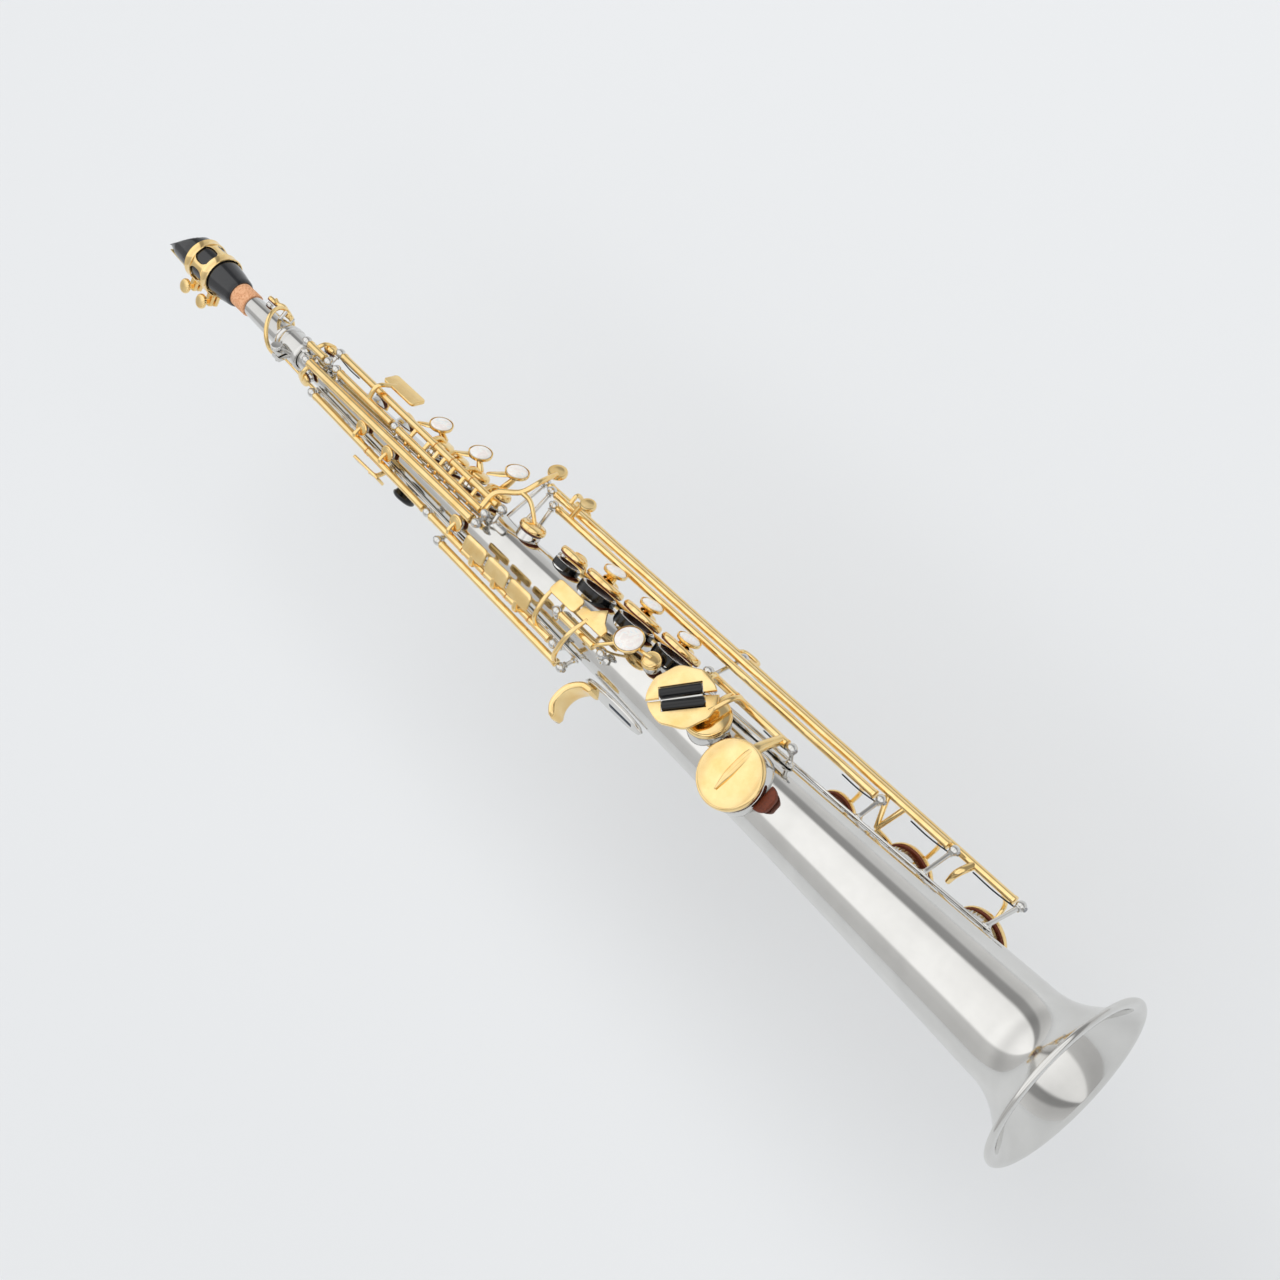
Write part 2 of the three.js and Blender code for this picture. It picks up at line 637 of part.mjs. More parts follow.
const receiverInner = tubeRadius(bodyTop - receiverOverlap) + gap;
const receiverOuter = receiverInner + receiverWall;
const receiverLow = bodyTop - receiverOverlap;
const receiverTop = receiverLow + receiverHeight;
const clampAngle = -58;
const clampHeight = receiverTop - 5;
const clampReach = receiverOuter + 2.6;
const clampScrewRadius = 1.2;
const lugHalf = 3.5;

// the direction of the clamp screw, square to the two lugs
const clampAcross = new THREE.Vector3(0, 0, 1).cross(outward(clampAngle));

function receiver() {
  const ring = turned([[receiverInner, receiverLow], [receiverOuter, receiverLow],
    [receiverOuter, receiverTop], [receiverInner, receiverTop], [receiverInner, receiverLow]]);
  const lugs = plate(clampHeight, clampReach - 1.2, clampAngle, 2 * lugHalf, 2 * lugHalf, 6);
  const bore = rod(at(receiverLow - 1, 0, 0), at(receiverTop + 1, 0, 0), receiverInner, boreFacets);
  const slit = plate(clampHeight, clampReach - 0.6, clampAngle, 14, 1.2, 10);
  const hole = screwPath(clampScrewRadius + gap, lugHalf + 2);
  return cut(join([ring, lugs]), [bore, slit, hole]);
}

// a point on the clamp screw's axis, a distance from its middle
function onClamp(distance) {
  return at(clampHeight, clampReach, clampAngle).addScaledVector(clampAcross, distance);
}

function screwPath(radius, reach) {
  return rod(onClamp(-reach), onClamp(reach), radius, 10);
}

function clampScrew() {
  const seat = lugHalf + gap;
  return join([screwPath(clampScrewRadius, lugHalf + 1.1), rod(onClamp(seat), onClamp(seat + 2.6), 3, 14)]);
}

saxophone.add(piece('neck_receiver', receiver(), 'silver'));
const clampPart = piece('neck_clamp_screw', clampScrew(), 'silver');
clampPart.userData.turn = { screw: clampPart.name, point: onClamp(0).toArray(), axis: clampAcross.toArray() };
saxophone.add(clampPart);

// the neck turns in the receiver; its octave key rides on it
const neckLow = bodyTop + gap;
const neckShoulder = receiverTop + gap;
const neckTop = neckShoulder + neckLength;
const tenonRadius = receiverInner - gap;
const corkRadius = neckTipRadius + gap + corkThickness;
const corkLow = neckTop - corkLength;
const octaveHole = neckShoulder + 27.5;
const octavePivot = neckShoulder + 12;
const saddleReach = 9.4;
const saddleHalf = 4;
const octaveRing = 12.6;
const octaveRingTilt = 31;

// outside radius of the neck cone at a height
function neckRadius(z) {
  const share = Math.min(1, (z - neckShoulder) / (corkLow - 2 - neckShoulder));
  return neckBaseRadius + (neckTipRadius - neckBaseRadius) * share;
}

function neck() {
  const outside = [[0, neckLow], [tenonRadius, neckLow], [tenonRadius, neckShoulder - gap / 2],
    [receiverOuter - 0.4, neckShoulder], [receiverOuter - 0.4, neckShoulder + 2.4],
    [neckRadius(neckShoulder + 3), neckShoulder + 3], [neckTipRadius, corkLow - 2],
    [neckTipRadius, neckTop], [0, neckTop]];
  const bore = [[0, neckLow - 1], [tenonRadius - 1.6, neckLow - 1], [neckTipRadius - neckWall, corkLow],
    [neckTipRadius - neckWall, neckTop + 1], [0, neckTop + 1]];
  const chimney = rod(at(octaveHole, 1, 90), at(octaveHole, neckRadius(octaveHole) + 1.6, 90), 2, 12);
  const vent = rod(at(octaveHole, 2, 90), at(octaveHole, neckRadius(octaveHole) + 3, 90), 0.9, 8);
  const saddle = [-1, 1].map((side) => rod(at(octavePivot, 4.4, 90).setX(side * saddleHalf),
    at(octavePivot, saddleReach + 1.2, 90).setX(side * saddleHalf), 1.1, 8));
  return cut(join([turned(outside), chimney, ...saddle]), [turned(bore), vent]);
}

function neckOctaveKey() {
  const hub = at(octavePivot, saddleReach, 90);
  const half = saddleHalf - 1.1 - gap;
  const tube = rod(hub.clone().setX(-half), hub.clone().setX(half), 1.6, 10);
  const lid = disc(octaveHole, neckRadius(octaveHole) + 1.6 + gap, 90, 3.6, 3);
  const spine = bentRod([hub, at(octavePivot + 7, saddleReach + 1.6, 90),
    at(octaveHole, neckRadius(octaveHole) + 4.6, 90)], 1.2);
  const ring = new THREE.TorusGeometry(octaveRing, 1.2, 6, 20);
  ring.rotateX(-radians(octaveRingTilt));
  ring.translate(0, 0, octavePivot - 2.5);
  return join([tube, lid, spine, solidOf(ring)]);
}

const neckGroup = new THREE.Group();
neckGroup.add(piece('neck', neck(), 'silver'));
neckGroup.add(piece('neck_cork', turned([[neckTipRadius + gap, corkLow], [corkRadius, corkLow],
  [corkRadius, neckTop], [neckTipRadius + gap, neckTop], [neckTipRadius + gap, corkLow]], 24), 'cork'));
const octaveKey = piece('neck_octave_key', neckOctaveKey(), 'gold');
octaveKey.userData.hinge = {
  key: 'neck_octave_key', point: at(octavePivot, saddleReach, 90).toArray(), axis: [1, 0, 0], openAngle: 0,
};
neckGroup.add(octaveKey);
saxophone.add(neckGroup);

// ---- mouthpiece: drawn from its shank upwards -------------------------------------------------------

const mouthpieceLow = neckTop - mouthpieceInsert;
const ligatureInner = mouthpieceRadius + gap;
const reedEdge = ligatureInner * Math.cos(Math.PI / ligatureFacets) - reedEdgeGap;
const tableDepth = Math.sqrt(reedEdge ** 2 - (reedWidth / 2) ** 2) - reedThickness - gap;
const tipOffset = tableDepth - tipDrop;
const ligatureLow = 17.5;
const screwReach = ligatureInner + 5.25;
const ligatureScrewRadius = 1.2;
const bands = [0, ligatureHeight - 1].map((lift) => [ligatureLow + lift, ligatureLow + lift + 5.5]);

function box(low, high) {
  const size = high.map((value, i) => value - low[i]);
  const shape = new THREE.BoxGeometry(...size);
  shape.translate(...high.map((value, i) => (value + low[i]) / 2));
  return solidOf(shape);
}

// an outline in the upright plane through the bore, first coordinate towards the thumb side, made wide
function upright(outline, width) {
  const shape = new THREE.ExtrudeGeometry(new THREE.Shape(outline.map(([y, z]) => new THREE.Vector2(y, z))),
    { depth: width, bevelEnabled: false });
  shape.translate(0, 0, -width / 2);
  const axes = framed(new THREE.Vector3(0, 1, 0), new THREE.Vector3(0, 0, 1), new THREE.Vector3(1, 0, 0),
    new THREE.Vector3());
  return solidOf(shape.applyMatrix4(axes));
}

function mouthpiece() {
  const top = mouthpieceLength;
  const blank = turned([[0, 0], [shankRadius, 0], [shankRadius + 0.5, 1.2], [mouthpieceRadius - 1.3, 9],
    [mouthpieceRadius - 0.2, 17], [mouthpieceRadius, 23], [mouthpieceRadius, 34],
    [mouthpieceRadius - 0.5, top - beakLength], [mouthpieceRadius - 1.4, top - 8],
    [mouthpieceRadius - 3.4, top - 1.5], [0, top]], 20);
  const socket = rod(at(-1, 0, 0), at(mouthpieceInsert + gap, 0, 0), corkRadius + gap, 24);
  const throat = rod(at(mouthpieceInsert, 0, 0), at(42, 0, 0), 4.2, 16);
  const beak = upright([[-mouthpieceRadius - 1, top - beakLength],
    [-mouthpieceRadius + 0.4, top - beakLength], [tipOffset - 0.9, top + 0.2],
    [tipOffset, top + 6], [-mouthpieceRadius - 6, top + 6]], 40);
  const table = box([-20, tableDepth, ligatureLow - 2], [20, 30, top + 4]);
  const window = box([-4.2, 0, 34], [4.2, 20, top - 7]);
  return cut(blank, [socket, throat, beak, table, window]);
}

function reed() {
  const heel = ligatureLow + 0.5;
  const low = tableDepth + gap;
  return upright([[low, heel], [low, heel + reedLength + 4], [low + 0.4, heel + reedLength + 4],
    [low + reedThickness, heel + reedLength * 0.62], [low + reedThickness, heel]], reedWidth);
}

function ligature() {
  const rings = bands.map(([low, high]) => turned([[ligatureInner, low], [ligatureInner + ligatureWall, low],
    [ligatureInner + ligatureWall, high], [ligatureInner, high], [ligatureInner, low]], ligatureFacets));
  const middle = (bands[0][0] + bands[1][1]) / 2;
  const bars = [20, 90, 160].map((a) => plate(middle, ligatureInner + ligatureWall / 2, a,
    bands[1][1] - bands[0][0], 5, ligatureWall));
  const lugs = bands.map(([low, high]) => box([-3, ligatureInner + 0.2, low], [3, screwReach + 2.2, high]));
  const slit = box([-0.6, 5, -5], [0.6, 30, 80]);
  const holes = bands.map(([low, high]) => rod(new THREE.Vector3(-9, screwReach, (low + high) / 2),
    new THREE.Vector3(9, screwReach, (low + high) / 2), ligatureScrewRadius + gap, 10));
  const inside = rod(at(0, 0, 0), at(70, 0, 0), ligatureInner, ligatureFacets);
  return cut(join([...rings, ...cutInside(bars, inside), ...lugs]), [slit, ...holes]);
}

function cutInside(solids, inside) {
  return solids.map((solid) => solid.subtract(inside));
}

function ligatureScrew([low, high]) {
  const z = (low + high) / 2;
  const across = (x) => new THREE.Vector3(x, screwReach, z);
  const shank = rod(across(4.4), across(-6.6), ligatureScrewRadius, 10);
  const knob = rod(across(-6.2), across(-8.8), 4.1, 16);
  return join([shank, knob]);
}

const mouthpieceGroup = new THREE.Group();
const boreAxis = new THREE.Vector3(0, 0, 1);
const screwAxis = new THREE.Vector3(1, 0, 0).applyAxisAngle(boreAxis, radians(mouthpieceTurn));
mouthpieceGroup.add(piece('mouthpiece', mouthpiece(), 'rubber'));
mouthpieceGroup.add(piece('reed', reed(), 'cane'));
mouthpieceGroup.add(piece('ligature', ligature(), 'gold'));
bands.forEach((band, i) => {
  const screw = piece(`ligature_screw_${i + 1}`, ligatureScrew(band), 'gold');
  const height = (band[0] + band[1]) / 2 + mouthpieceLow;
  const point = at(height, screwReach, -90 + mouthpieceTurn);
  screw.userData.turn = { screw: screw.name, point: point.toArray(), axis: screwAxis.toArray() };
  mouthpieceGroup.add(screw);
});
mouthpieceGroup.position.z = mouthpieceLow;
mouthpieceGroup.rotation.z = radians(mouthpieceTurn);
saxophone.add(mouthpieceGroup);

// ---- thumb side: rest and hook -----------------------------------------------------------------------

const backAngle = -90;
const restHeight = 452;
const restAngle = -97;
const restRadius = 6.6;
saxophone.add(piece('thumb_rest', join([
  rod(at(restHeight, tubeRadius(restHeight) + 2.1, restAngle), at(restHeight, 17.6, restAngle),
    restRadius - 2, 14, restRadius),
  rod(at(restHeight, 17.5, restAngle), at(restHeight, 19.8, restAngle), restRadius, 14, restRadius - 2.2),
]), 'plastic'));

const hookPlateHeight = 277;
const hookPlateReach = tubeRadius(hookPlateHeight - hookPlateLength / 2) + gap + 0.8;

function hookPlate() {
  const half = hookPlateLength / 2;
  const wide = hookPlateWidth / 2;
  const near = 0.84 * wide;
  const outline = new THREE.Shape([[-half, 0], [-half / 2, -near], [0, -wide], [half / 2, -near],
    [half, 0], [half / 2, near], [0, wide], [-half / 2, near]].map(([x, y]) => new THREE.Vector2(x, y)));
  return flatPiece(outline, hookPlateHeight, hookPlateReach, backAngle, 2.2);
}

function thumbHook() {
  const foot = hookPlateReach + 2.2 + gap;
  const top = hookPlateHeight + 20;
  const low = hookPlateHeight + 11;
  const outline = [[foot, low], [foot + 1.8, low], [foot + 1.8, top - 4], [foot + 8, top + 1.5],
    [foot + 16, top + 1], [foot + hookReach, top - 4], [foot + hookReach + 2.6, top - 1.5],
    [foot + 17, top + hookThickness], [foot + 7, top + hookThickness + 0.6], [foot, top - 1]];
  return upright(outline, hookWidth);
}

saxophone.add(piece('thumb_hook_plate', hookPlate(), 'silver'));
saxophone.add(piece('thumb_hook', thumbHook(), 'gold'));

export default saxophone;
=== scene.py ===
"""Looks of a straight soprano saxophone: silver plated tube, gold lacquered keys, hard rubber mouthpiece.

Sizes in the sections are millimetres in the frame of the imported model, and go into the meshes in metres.
The bore runs along +Z from the bell rim. Angles round it: 0 is -X, 90 is -Y (finger
keys), -90 the thumb side.
"""

import math

import bpy
import numpy as np
from mathutils import Matrix, Vector


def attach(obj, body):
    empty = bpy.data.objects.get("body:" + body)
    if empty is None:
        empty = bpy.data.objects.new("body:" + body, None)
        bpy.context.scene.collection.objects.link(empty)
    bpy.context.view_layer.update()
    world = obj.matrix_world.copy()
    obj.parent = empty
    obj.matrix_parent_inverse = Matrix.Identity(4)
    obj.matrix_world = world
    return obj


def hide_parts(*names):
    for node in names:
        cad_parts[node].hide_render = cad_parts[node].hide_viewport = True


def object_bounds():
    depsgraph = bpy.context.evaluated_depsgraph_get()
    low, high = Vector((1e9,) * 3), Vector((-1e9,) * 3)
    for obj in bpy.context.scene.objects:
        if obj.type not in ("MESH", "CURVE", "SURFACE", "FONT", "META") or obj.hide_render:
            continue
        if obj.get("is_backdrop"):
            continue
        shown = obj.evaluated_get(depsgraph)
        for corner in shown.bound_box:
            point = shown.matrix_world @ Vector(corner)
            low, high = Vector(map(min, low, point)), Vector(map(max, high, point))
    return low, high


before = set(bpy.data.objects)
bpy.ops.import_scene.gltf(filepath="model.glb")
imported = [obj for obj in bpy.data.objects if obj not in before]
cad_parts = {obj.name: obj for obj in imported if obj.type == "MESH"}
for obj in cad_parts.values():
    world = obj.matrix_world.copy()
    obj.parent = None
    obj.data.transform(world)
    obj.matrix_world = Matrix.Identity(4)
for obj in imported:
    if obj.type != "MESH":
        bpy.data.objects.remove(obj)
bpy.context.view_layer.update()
scene = bpy.context.scene

# ---- studio -----------------------------------------------------------------
# A pale card stands behind the instrument, and pale walls with darker gaps stand round it.
# The gaps give polished metal the dark lines that tell its shape.

scene.view_settings.view_transform = "Standard"

camera_right = Vector((0.3605, -0.6861, -0.6319))
camera_up = Vector((-0.3400, -0.7275, 0.5959))
camera_back = Vector((-0.8686, 0.0, -0.4955))
camera = bpy.data.objects.new("camera", bpy.data.cameras.new("camera"))
camera.data.sensor_width = 36
camera.data.lens = 61.59
camera_place = (-0.9051, -0.0123, -0.2247)
camera_turn = Matrix((camera_right, camera_up, camera_back)).transposed().to_4x4()
camera.matrix_world = Matrix.Translation(camera_place) @ camera_turn
scene.collection.objects.link(camera)
scene.camera = camera


def linear(code):
    """An sRGB hex code as linear red, green, blue and alpha: a channel c becomes ((c +
    0.055) / 1.055) ** 2.4."""
    channels = [int(code[i:i + 2], 16) / 255 for i in (1, 3, 5)]
    return (*[c / 12.92 if c <= 0.04045 else ((c + 0.055) / 1.055) ** 2.4 for c in channels], 1.0)


def put(tree, kind, settings=None, links=()):
    """Adds a node. Settings name its attributes or its input sockets; links are (source
    socket, input) pairs."""
    node = tree.nodes.new("ShaderNode" + kind)
    for key, value in (settings or {}).items():
        if isinstance(key, str) and hasattr(node, key):
            setattr(node, key, value)
        else:
            node.inputs[key].default_value = value
    for source, target in links:
        tree.links.new(source, node.inputs[target])
    return node


def set_ramp(ramp, stops):
    """Gives a ColorRamp node its stops: (place from 0 to 1, grey level or colour)."""
    elements = ramp.color_ramp.elements
    while len(elements) < len(stops):
        elements.new(0.5)
    for element, (place, colour) in zip(elements, stops):
        element.position = place
        element.color = colour if isinstance(colour, tuple) else (colour, colour, colour, 1)


world = bpy.data.worlds.new("studio")
scene.world = world
world.use_nodes = True
sky = world.node_tree
sky.nodes.clear()
direction = put(sky, "TexCoord")
parts = put(sky, "SeparateXYZ", {}, [(direction.outputs["Generated"], 0)])
turn = put(sky, "Math", {"operation": "ARCTAN2"}, [(parts.outputs["Y"], 0), (parts.outputs["X"], 1)])
round_room = put(sky, "MapRange", {1: -math.pi, 2: math.pi}, [(turn.outputs[0], 0)])
walls = put(sky, "ValToRGB", {}, [(round_room.outputs[0], 0)])
walls.color_ramp.interpolation = "EASE"
set_ramp(walls, [(0.0, 1.28), (0.1, 1.22), (0.125, 0.36), (0.165, 0.38), (0.19, 0.7),
    (0.28, 0.84), (0.35, 0.66),
    (0.4, 0.22), (0.5, 0.16), (0.6, 0.22), (0.66, 0.66), (0.8, 0.66), (0.86, 0.72),
    (0.885, 1.28), (1.0, 1.28)])
height = put(sky, "MapRange", {1: -1.0, 2: 1.0}, [(parts.outputs["Z"], 0)])
storeys = put(sky, "ValToRGB", {}, [(height.outputs[0], 0)])
storeys.color_ramp.interpolation = "EASE"
set_ramp(storeys, [(0.0, 0.8), (0.3, 0.95), (0.42, 0.7), (0.55, 0.92), (0.75, 1.0), (0.88, 0.8), (1.0, 1.0)])
room = put(sky, "Mix", {"data_type": "RGBA", "blend_type": "MULTIPLY", 0: 1.0},
    [(walls.outputs[0], 6), (storeys.outputs[0], 7)])
path = put(sky, "LightPath")
seen = put(sky, "Mix", {"data_type": "RGBA", 7: linear("#DEE0E2")},
    [(path.outputs["Is Camera Ray"], 0), (room.outputs[2], 6)])
light_out = put(sky, "Background", {"Strength": 1.0}, [(seen.outputs[2], 0)])
put(sky, "OutputWorld", {}, [(light_out.outputs[0], 0)])

card_distance = 0.16
card_half = 4.0
card_mesh = bpy.data.meshes.new("card")
card_mesh.from_pydata([(card_distance, -card_half, -card_half), (card_distance, -card_half, card_half),
    (card_distance, card_half, card_half), (card_distance, card_half, -card_half)], [], [(0, 1, 2, 3)])
card = bpy.data.objects.new("card", card_mesh)
scene.collection.objects.link(card)
card_paper = bpy.data.materials.new("pale_card")
card_paper.use_nodes = True
tree = card_paper.node_tree
tree.nodes.clear()
paper = put(tree, "BsdfDiffuse", {"Color": linear("#E3E5E7")})
clear = put(tree, "BsdfTransparent")
facing = put(tree, "NewGeometry")
one_sided = put(tree, "MixShader", {}, [(facing.outputs["Backfacing"], 0), (paper.outputs[0], 1),
    (clear.outputs[0], 2)])
put(tree, "OutputMaterial", {}, [(one_sided.outputs[0], 0)])
card_mesh.materials.append(card_paper)
card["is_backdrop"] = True

middle_of_part = Vector((0, 0, 0.3))
for name, place, size, power in (  # place and size of the lamp in metres, power in watts
        ("key_light", (-1.6, -0.5, 1.1), 1.1, 5),
        ("fill_light", (-1.3, 1.3, -0.3), 0.9, 1.5),
        ("rim_light", (-0.4, -1.5, 0.2), 0.7, 1.5)):
    lamp = bpy.data.objects.new(name, bpy.data.lights.new(name, "AREA"))
    lamp.data.size = size
    lamp.data.energy = power
    lamp.location = place
    lamp.rotation_mode = "QUATERNION"
    lamp.rotation_quaternion = (middle_of_part - Vector(place)).to_track_quat("-Z", "Y")
    lamp.visible_glossy = False
    scene.collection.objects.link(lamp)

# ---- silver plated tube and bell --------------------------------------------
# Drawn brass tube and a spun bell, buffed and silver plated: near mirror bright, with the slightest waver
# from the buffing wheel. The bell's edge is rolled over a wire ring, and the tone hole chimneys are
# soldered on.

MM = 0.001


def finish_of(name, colour, metallic=0.0, roughness=0.3):
    """A new material with a Principled shader. Returns the material, its tree, the shader and
    Object coordinates."""
    material = bpy.data.materials.new(name)
    material.use_nodes = True
    tree = material.node_tree
    tree.nodes.clear()
    shader = put(tree, "BsdfPrincipled", {"Base Color": linear(colour), "Metallic": metallic,
        "Roughness": roughness})
    put(tree, "OutputMaterial", {}, [(shader.outputs[0], 0)])
    where = put(tree, "TexCoord")
    return material, tree, shader, where.outputs["Object"]


def buffed(name, colour, shade, low, high, grain=6.0, waver=0.05):
    """A buffed metal: a soft noise of grain mm leads the roughness from low to high and the
    colour to its shade."""
    material, tree, shader, where = finish_of(name, colour, 1.0)
    cloud = put(tree, "TexNoise", {"Scale": 1 / (grain * MM), "Detail": 3.0}, [(where, 0)])
    rough = put(tree, "MapRange", {1: 0.3, 2: 0.7, 3: low, 4: high}, [(cloud.outputs[0], 0)])
    tree.links.new(rough.outputs[0], shader.inputs["Roughness"])
    tint = put(tree, "Mix", {"data_type": "RGBA", 6: linear(colour), 7: linear(shade)},
        [(rough.outputs[0], 0)])
    share = put(tree, "MapRange", {1: 0.35, 2: 0.75}, [(cloud.outputs[0], 0)])
    tree.links.new(share.outputs[0], tint.inputs[0])
    tree.links.new(tint.outputs[2], shader.inputs["Base Color"])
    bump = put(tree, "Bump", {"Strength": 0.25, "Distance": waver * MM}, [(cloud.outputs[0], "Height")])
    tree.links.new(bump.outputs[0], shader.inputs["Normal"])
    return material


silver_plate = buffed("silver_plate_buffed", "#DAD9D6", "#D2D1CE", 0.06, 0.11, grain=14, waver=0.02)


# Height and outside radius of the tube where the bell begins, where its two cones meet, and at its top.
TUBE_FOOT = (61, 23.8)
TUBE_BEND = (165, 19.15)
TUBE_TOP = (566, 6.55)


def cone(z, low, high):
    """Radius on the straight line between two (height, radius) pairs."""
    return low[1] + (high[1] - low[1]) * (z - low[0]) / (high[0] - low[0])


def tube_radius(z):
    """Outside radius of the tube: two straight cones that meet at TUBE_BEND."""
    return np.where(z > TUBE_BEND[0], cone(z, TUBE_BEND, TUBE_TOP), cone(z, TUBE_FOOT, TUBE_BEND))


def surface(z):
    """Outside radius of the tube at one height, as a plain number."""
    return float(tube_radius(z))


def at(z, distance, degrees):
    """A point at a height, a distance from the bore axis and an angle round it."""
    a = math.radians(degrees)
    return np.array([-distance * math.cos(a), -distance * math.sin(a), z], float)


def skin(rings, loop=False):
    """A closed surface through rings of points: quads join each ring to the next. The
    ends close with a fan to
    the middle of the end ring, or, with loop, the last ring joins the first."""
    m, n = rings.shape[:2]
    spots = rings.reshape(-1, 3)
    i, j = np.meshgrid(np.arange(m if loop else m - 1), np.arange(n), indexing="ij")
    above, beside = (i + 1) % m, (j + 1) % n
    quads = np.stack([i * n + j, i * n + beside, above * n + beside, above * n + j], -1).reshape(-1, 4)
    if loop:
        return spots, quads, np.zeros((0, 3), int)
    k = np.arange(n)
    spots = np.vstack([spots, rings[0].mean(0), rings[-1].mean(0)])
    first = np.stack([np.full(n, m * n), (k + 1) % n, k], -1)
    last = np.stack([np.full(n, m * n + 1), (m - 1) * n + k, (m - 1) * n + (k + 1) % n], -1)
    return spots, quads, np.vstack([first, last])


def shell(name, skins, material, body, replaces=(), crease=38):
    """One mesh object from closed skins, each turned so that the volume inside it is positive,
    riding on a body."""
    spots, corners, counts, base = [], [], [], 0
    for points, quads, fans in skins:
        halves = np.vstack([quads[:, [0, 1, 2]], quads[:, [0, 2, 3]], fans])
        a, b, c = (points[halves[:, i]] - points.mean(0) for i in range(3))
        if np.einsum("ij,ij->i", a, np.cross(b, c)).sum() < 0:
            quads, fans = quads[:, ::-1], fans[:, ::-1]
        spots.append(points * MM)
        corners += [(quads + base).ravel(), (fans + base).ravel()]
        counts += [np.full(len(quads), 4), np.full(len(fans), 3)]
        base += len(points)
    spots, corners, counts = np.vstack(spots), np.concatenate(corners), np.concatenate(counts)
    mesh = bpy.data.meshes.new(name)
    mesh.vertices.add(len(spots))
    mesh.vertices.foreach_set("co", spots.astype(np.float32).ravel())
    mesh.loops.add(len(corners))
    mesh.loops.foreach_set("vertex_index", corners.astype(np.int32))
    mesh.polygons.add(len(counts))
    mesh.polygons.foreach_set("loop_start", np.concatenate([[0], np.cumsum(counts)[:-1]]).astype(np.int32))
    mesh.update(calc_edges=True)
    mesh.polygons.foreach_set("use_smooth", np.ones(len(counts), bool))
    mesh.set_sharp_from_angle(angle=math.radians(crease))
    mesh.materials.append(material)
    piece = bpy.data.objects.new(name, mesh)
    scene.collection.objects.link(piece)
    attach(piece, body)
    if replaces:
        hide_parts(*replaces)


def square_to(axis):
    """Two directions square to an axis and to each other."""
    axis = axis / np.linalg.norm(axis)
    aside = np.cross(axis, [0, 0, 1.0] if abs(axis[2]) < 0.9 else [1.0, 0, 0])
    aside /= np.linalg.norm(aside)
    return axis, aside, np.cross(axis, aside)


def turned(profile, foot, axis, sides=32, loop=False, flutes=0, depth=0.0):
    """A turned shape: profile holds (radius, height) pairs, carried round the axis. Flutes wave
    the radius by depth."""
    profile = np.array(profile, float)
    axis, aside, third = square_to(np.array(axis, float))
    v = np.linspace(0, 2 * np.pi, sides, endpoint=False)
    radius = profile[:, :1] + depth * np.cos(flutes * v) * (profile[:, :1] > depth * 3)
    rings = foot + profile[:, 1, None, None] * axis + (radius * np.cos(v))[..., None] * aside \
        + (radius * np.sin(v))[..., None] * third
    return skin(rings, loop)


UP = np.array([0, 0, 1.0])


def round_bore(profile, sides):
    """A closed outline carried round the bore axis."""
    return turned(profile, np.zeros(3), UP, sides, loop=True)


tone_holes = {  # height, angle, radius of the hole, height of the chimney
    "low_bb": (79, 143, 13.3, 4.6), "low_b": (123, 143, 12.9, 4.6), "c_sharp": (166, 143, 9.8, 4.4),
    "low_c": (195, -9.5, 14.9, 5.4), "low_eb": (226, 20, 9.6, 3.9), "d": (270, 80, 9.7, 2.6),
    "e": (297.5, 80, 9.5, 2.6), "f": (325, 80, 9.2, 2.6), "f_sharp": (348.5, 80, 6.1, 2.6),
    "g_sharp": (376, 70, 5.4, 2.6), "g": (407, 80, 5.2, 2.4), "a": (424, 80, 4.9, 2.4),
    "bis": (439, 80, 3.9, 2.4), "b": (453, 80, 4.4, 2.4), "side_bb": (408, -36, 2.7, 1.0),
    "side_c": (470, -36, 2.6, 1.0), "high_fs": (494, -36, 2.4, 1.0), "high_e": (548, -60, 2.6, 1.6),
    "high_f": (549, 75, 2.8, 3.2), "palm_eb": (508, 115, 3.2, 2.4), "palm_d": (486, 115, 3.6, 2.4),
    "trill": (269, 26, 3.2, 2.4),
}
WALL = 1.1
FLARE_START = 34           # height below which the bell opens
THROAT_RADIUS = 25.2       # outside radius at that height
THROAT_GAIN = 1.4          # what the cone between the tube and the flare adds to the radius
RIM_GAIN = 19.8            # what the flare adds
FLARE_POWER = 2.3
BELL_CHIMNEY_DROP = 0.9    # how much lower the two largest bell chimneys end


def bell_outside(z):
    """Outside radius: a straight cone down to FLARE_START, then THROAT_RADIUS + RIM_GAIN *
    opening ** FLARE_POWER,
    where opening runs from 0 to 1 at the rim."""
    opening = np.clip(1 - z / FLARE_START, 0, 1)
    straight = TUBE_FOOT[1] + THROAT_GAIN * (TUBE_FOOT[0] - z) / (TUBE_FOOT[0] - FLARE_START)
    return np.where(z > FLARE_START, straight, THROAT_RADIUS + RIM_GAIN * opening ** FLARE_POWER)


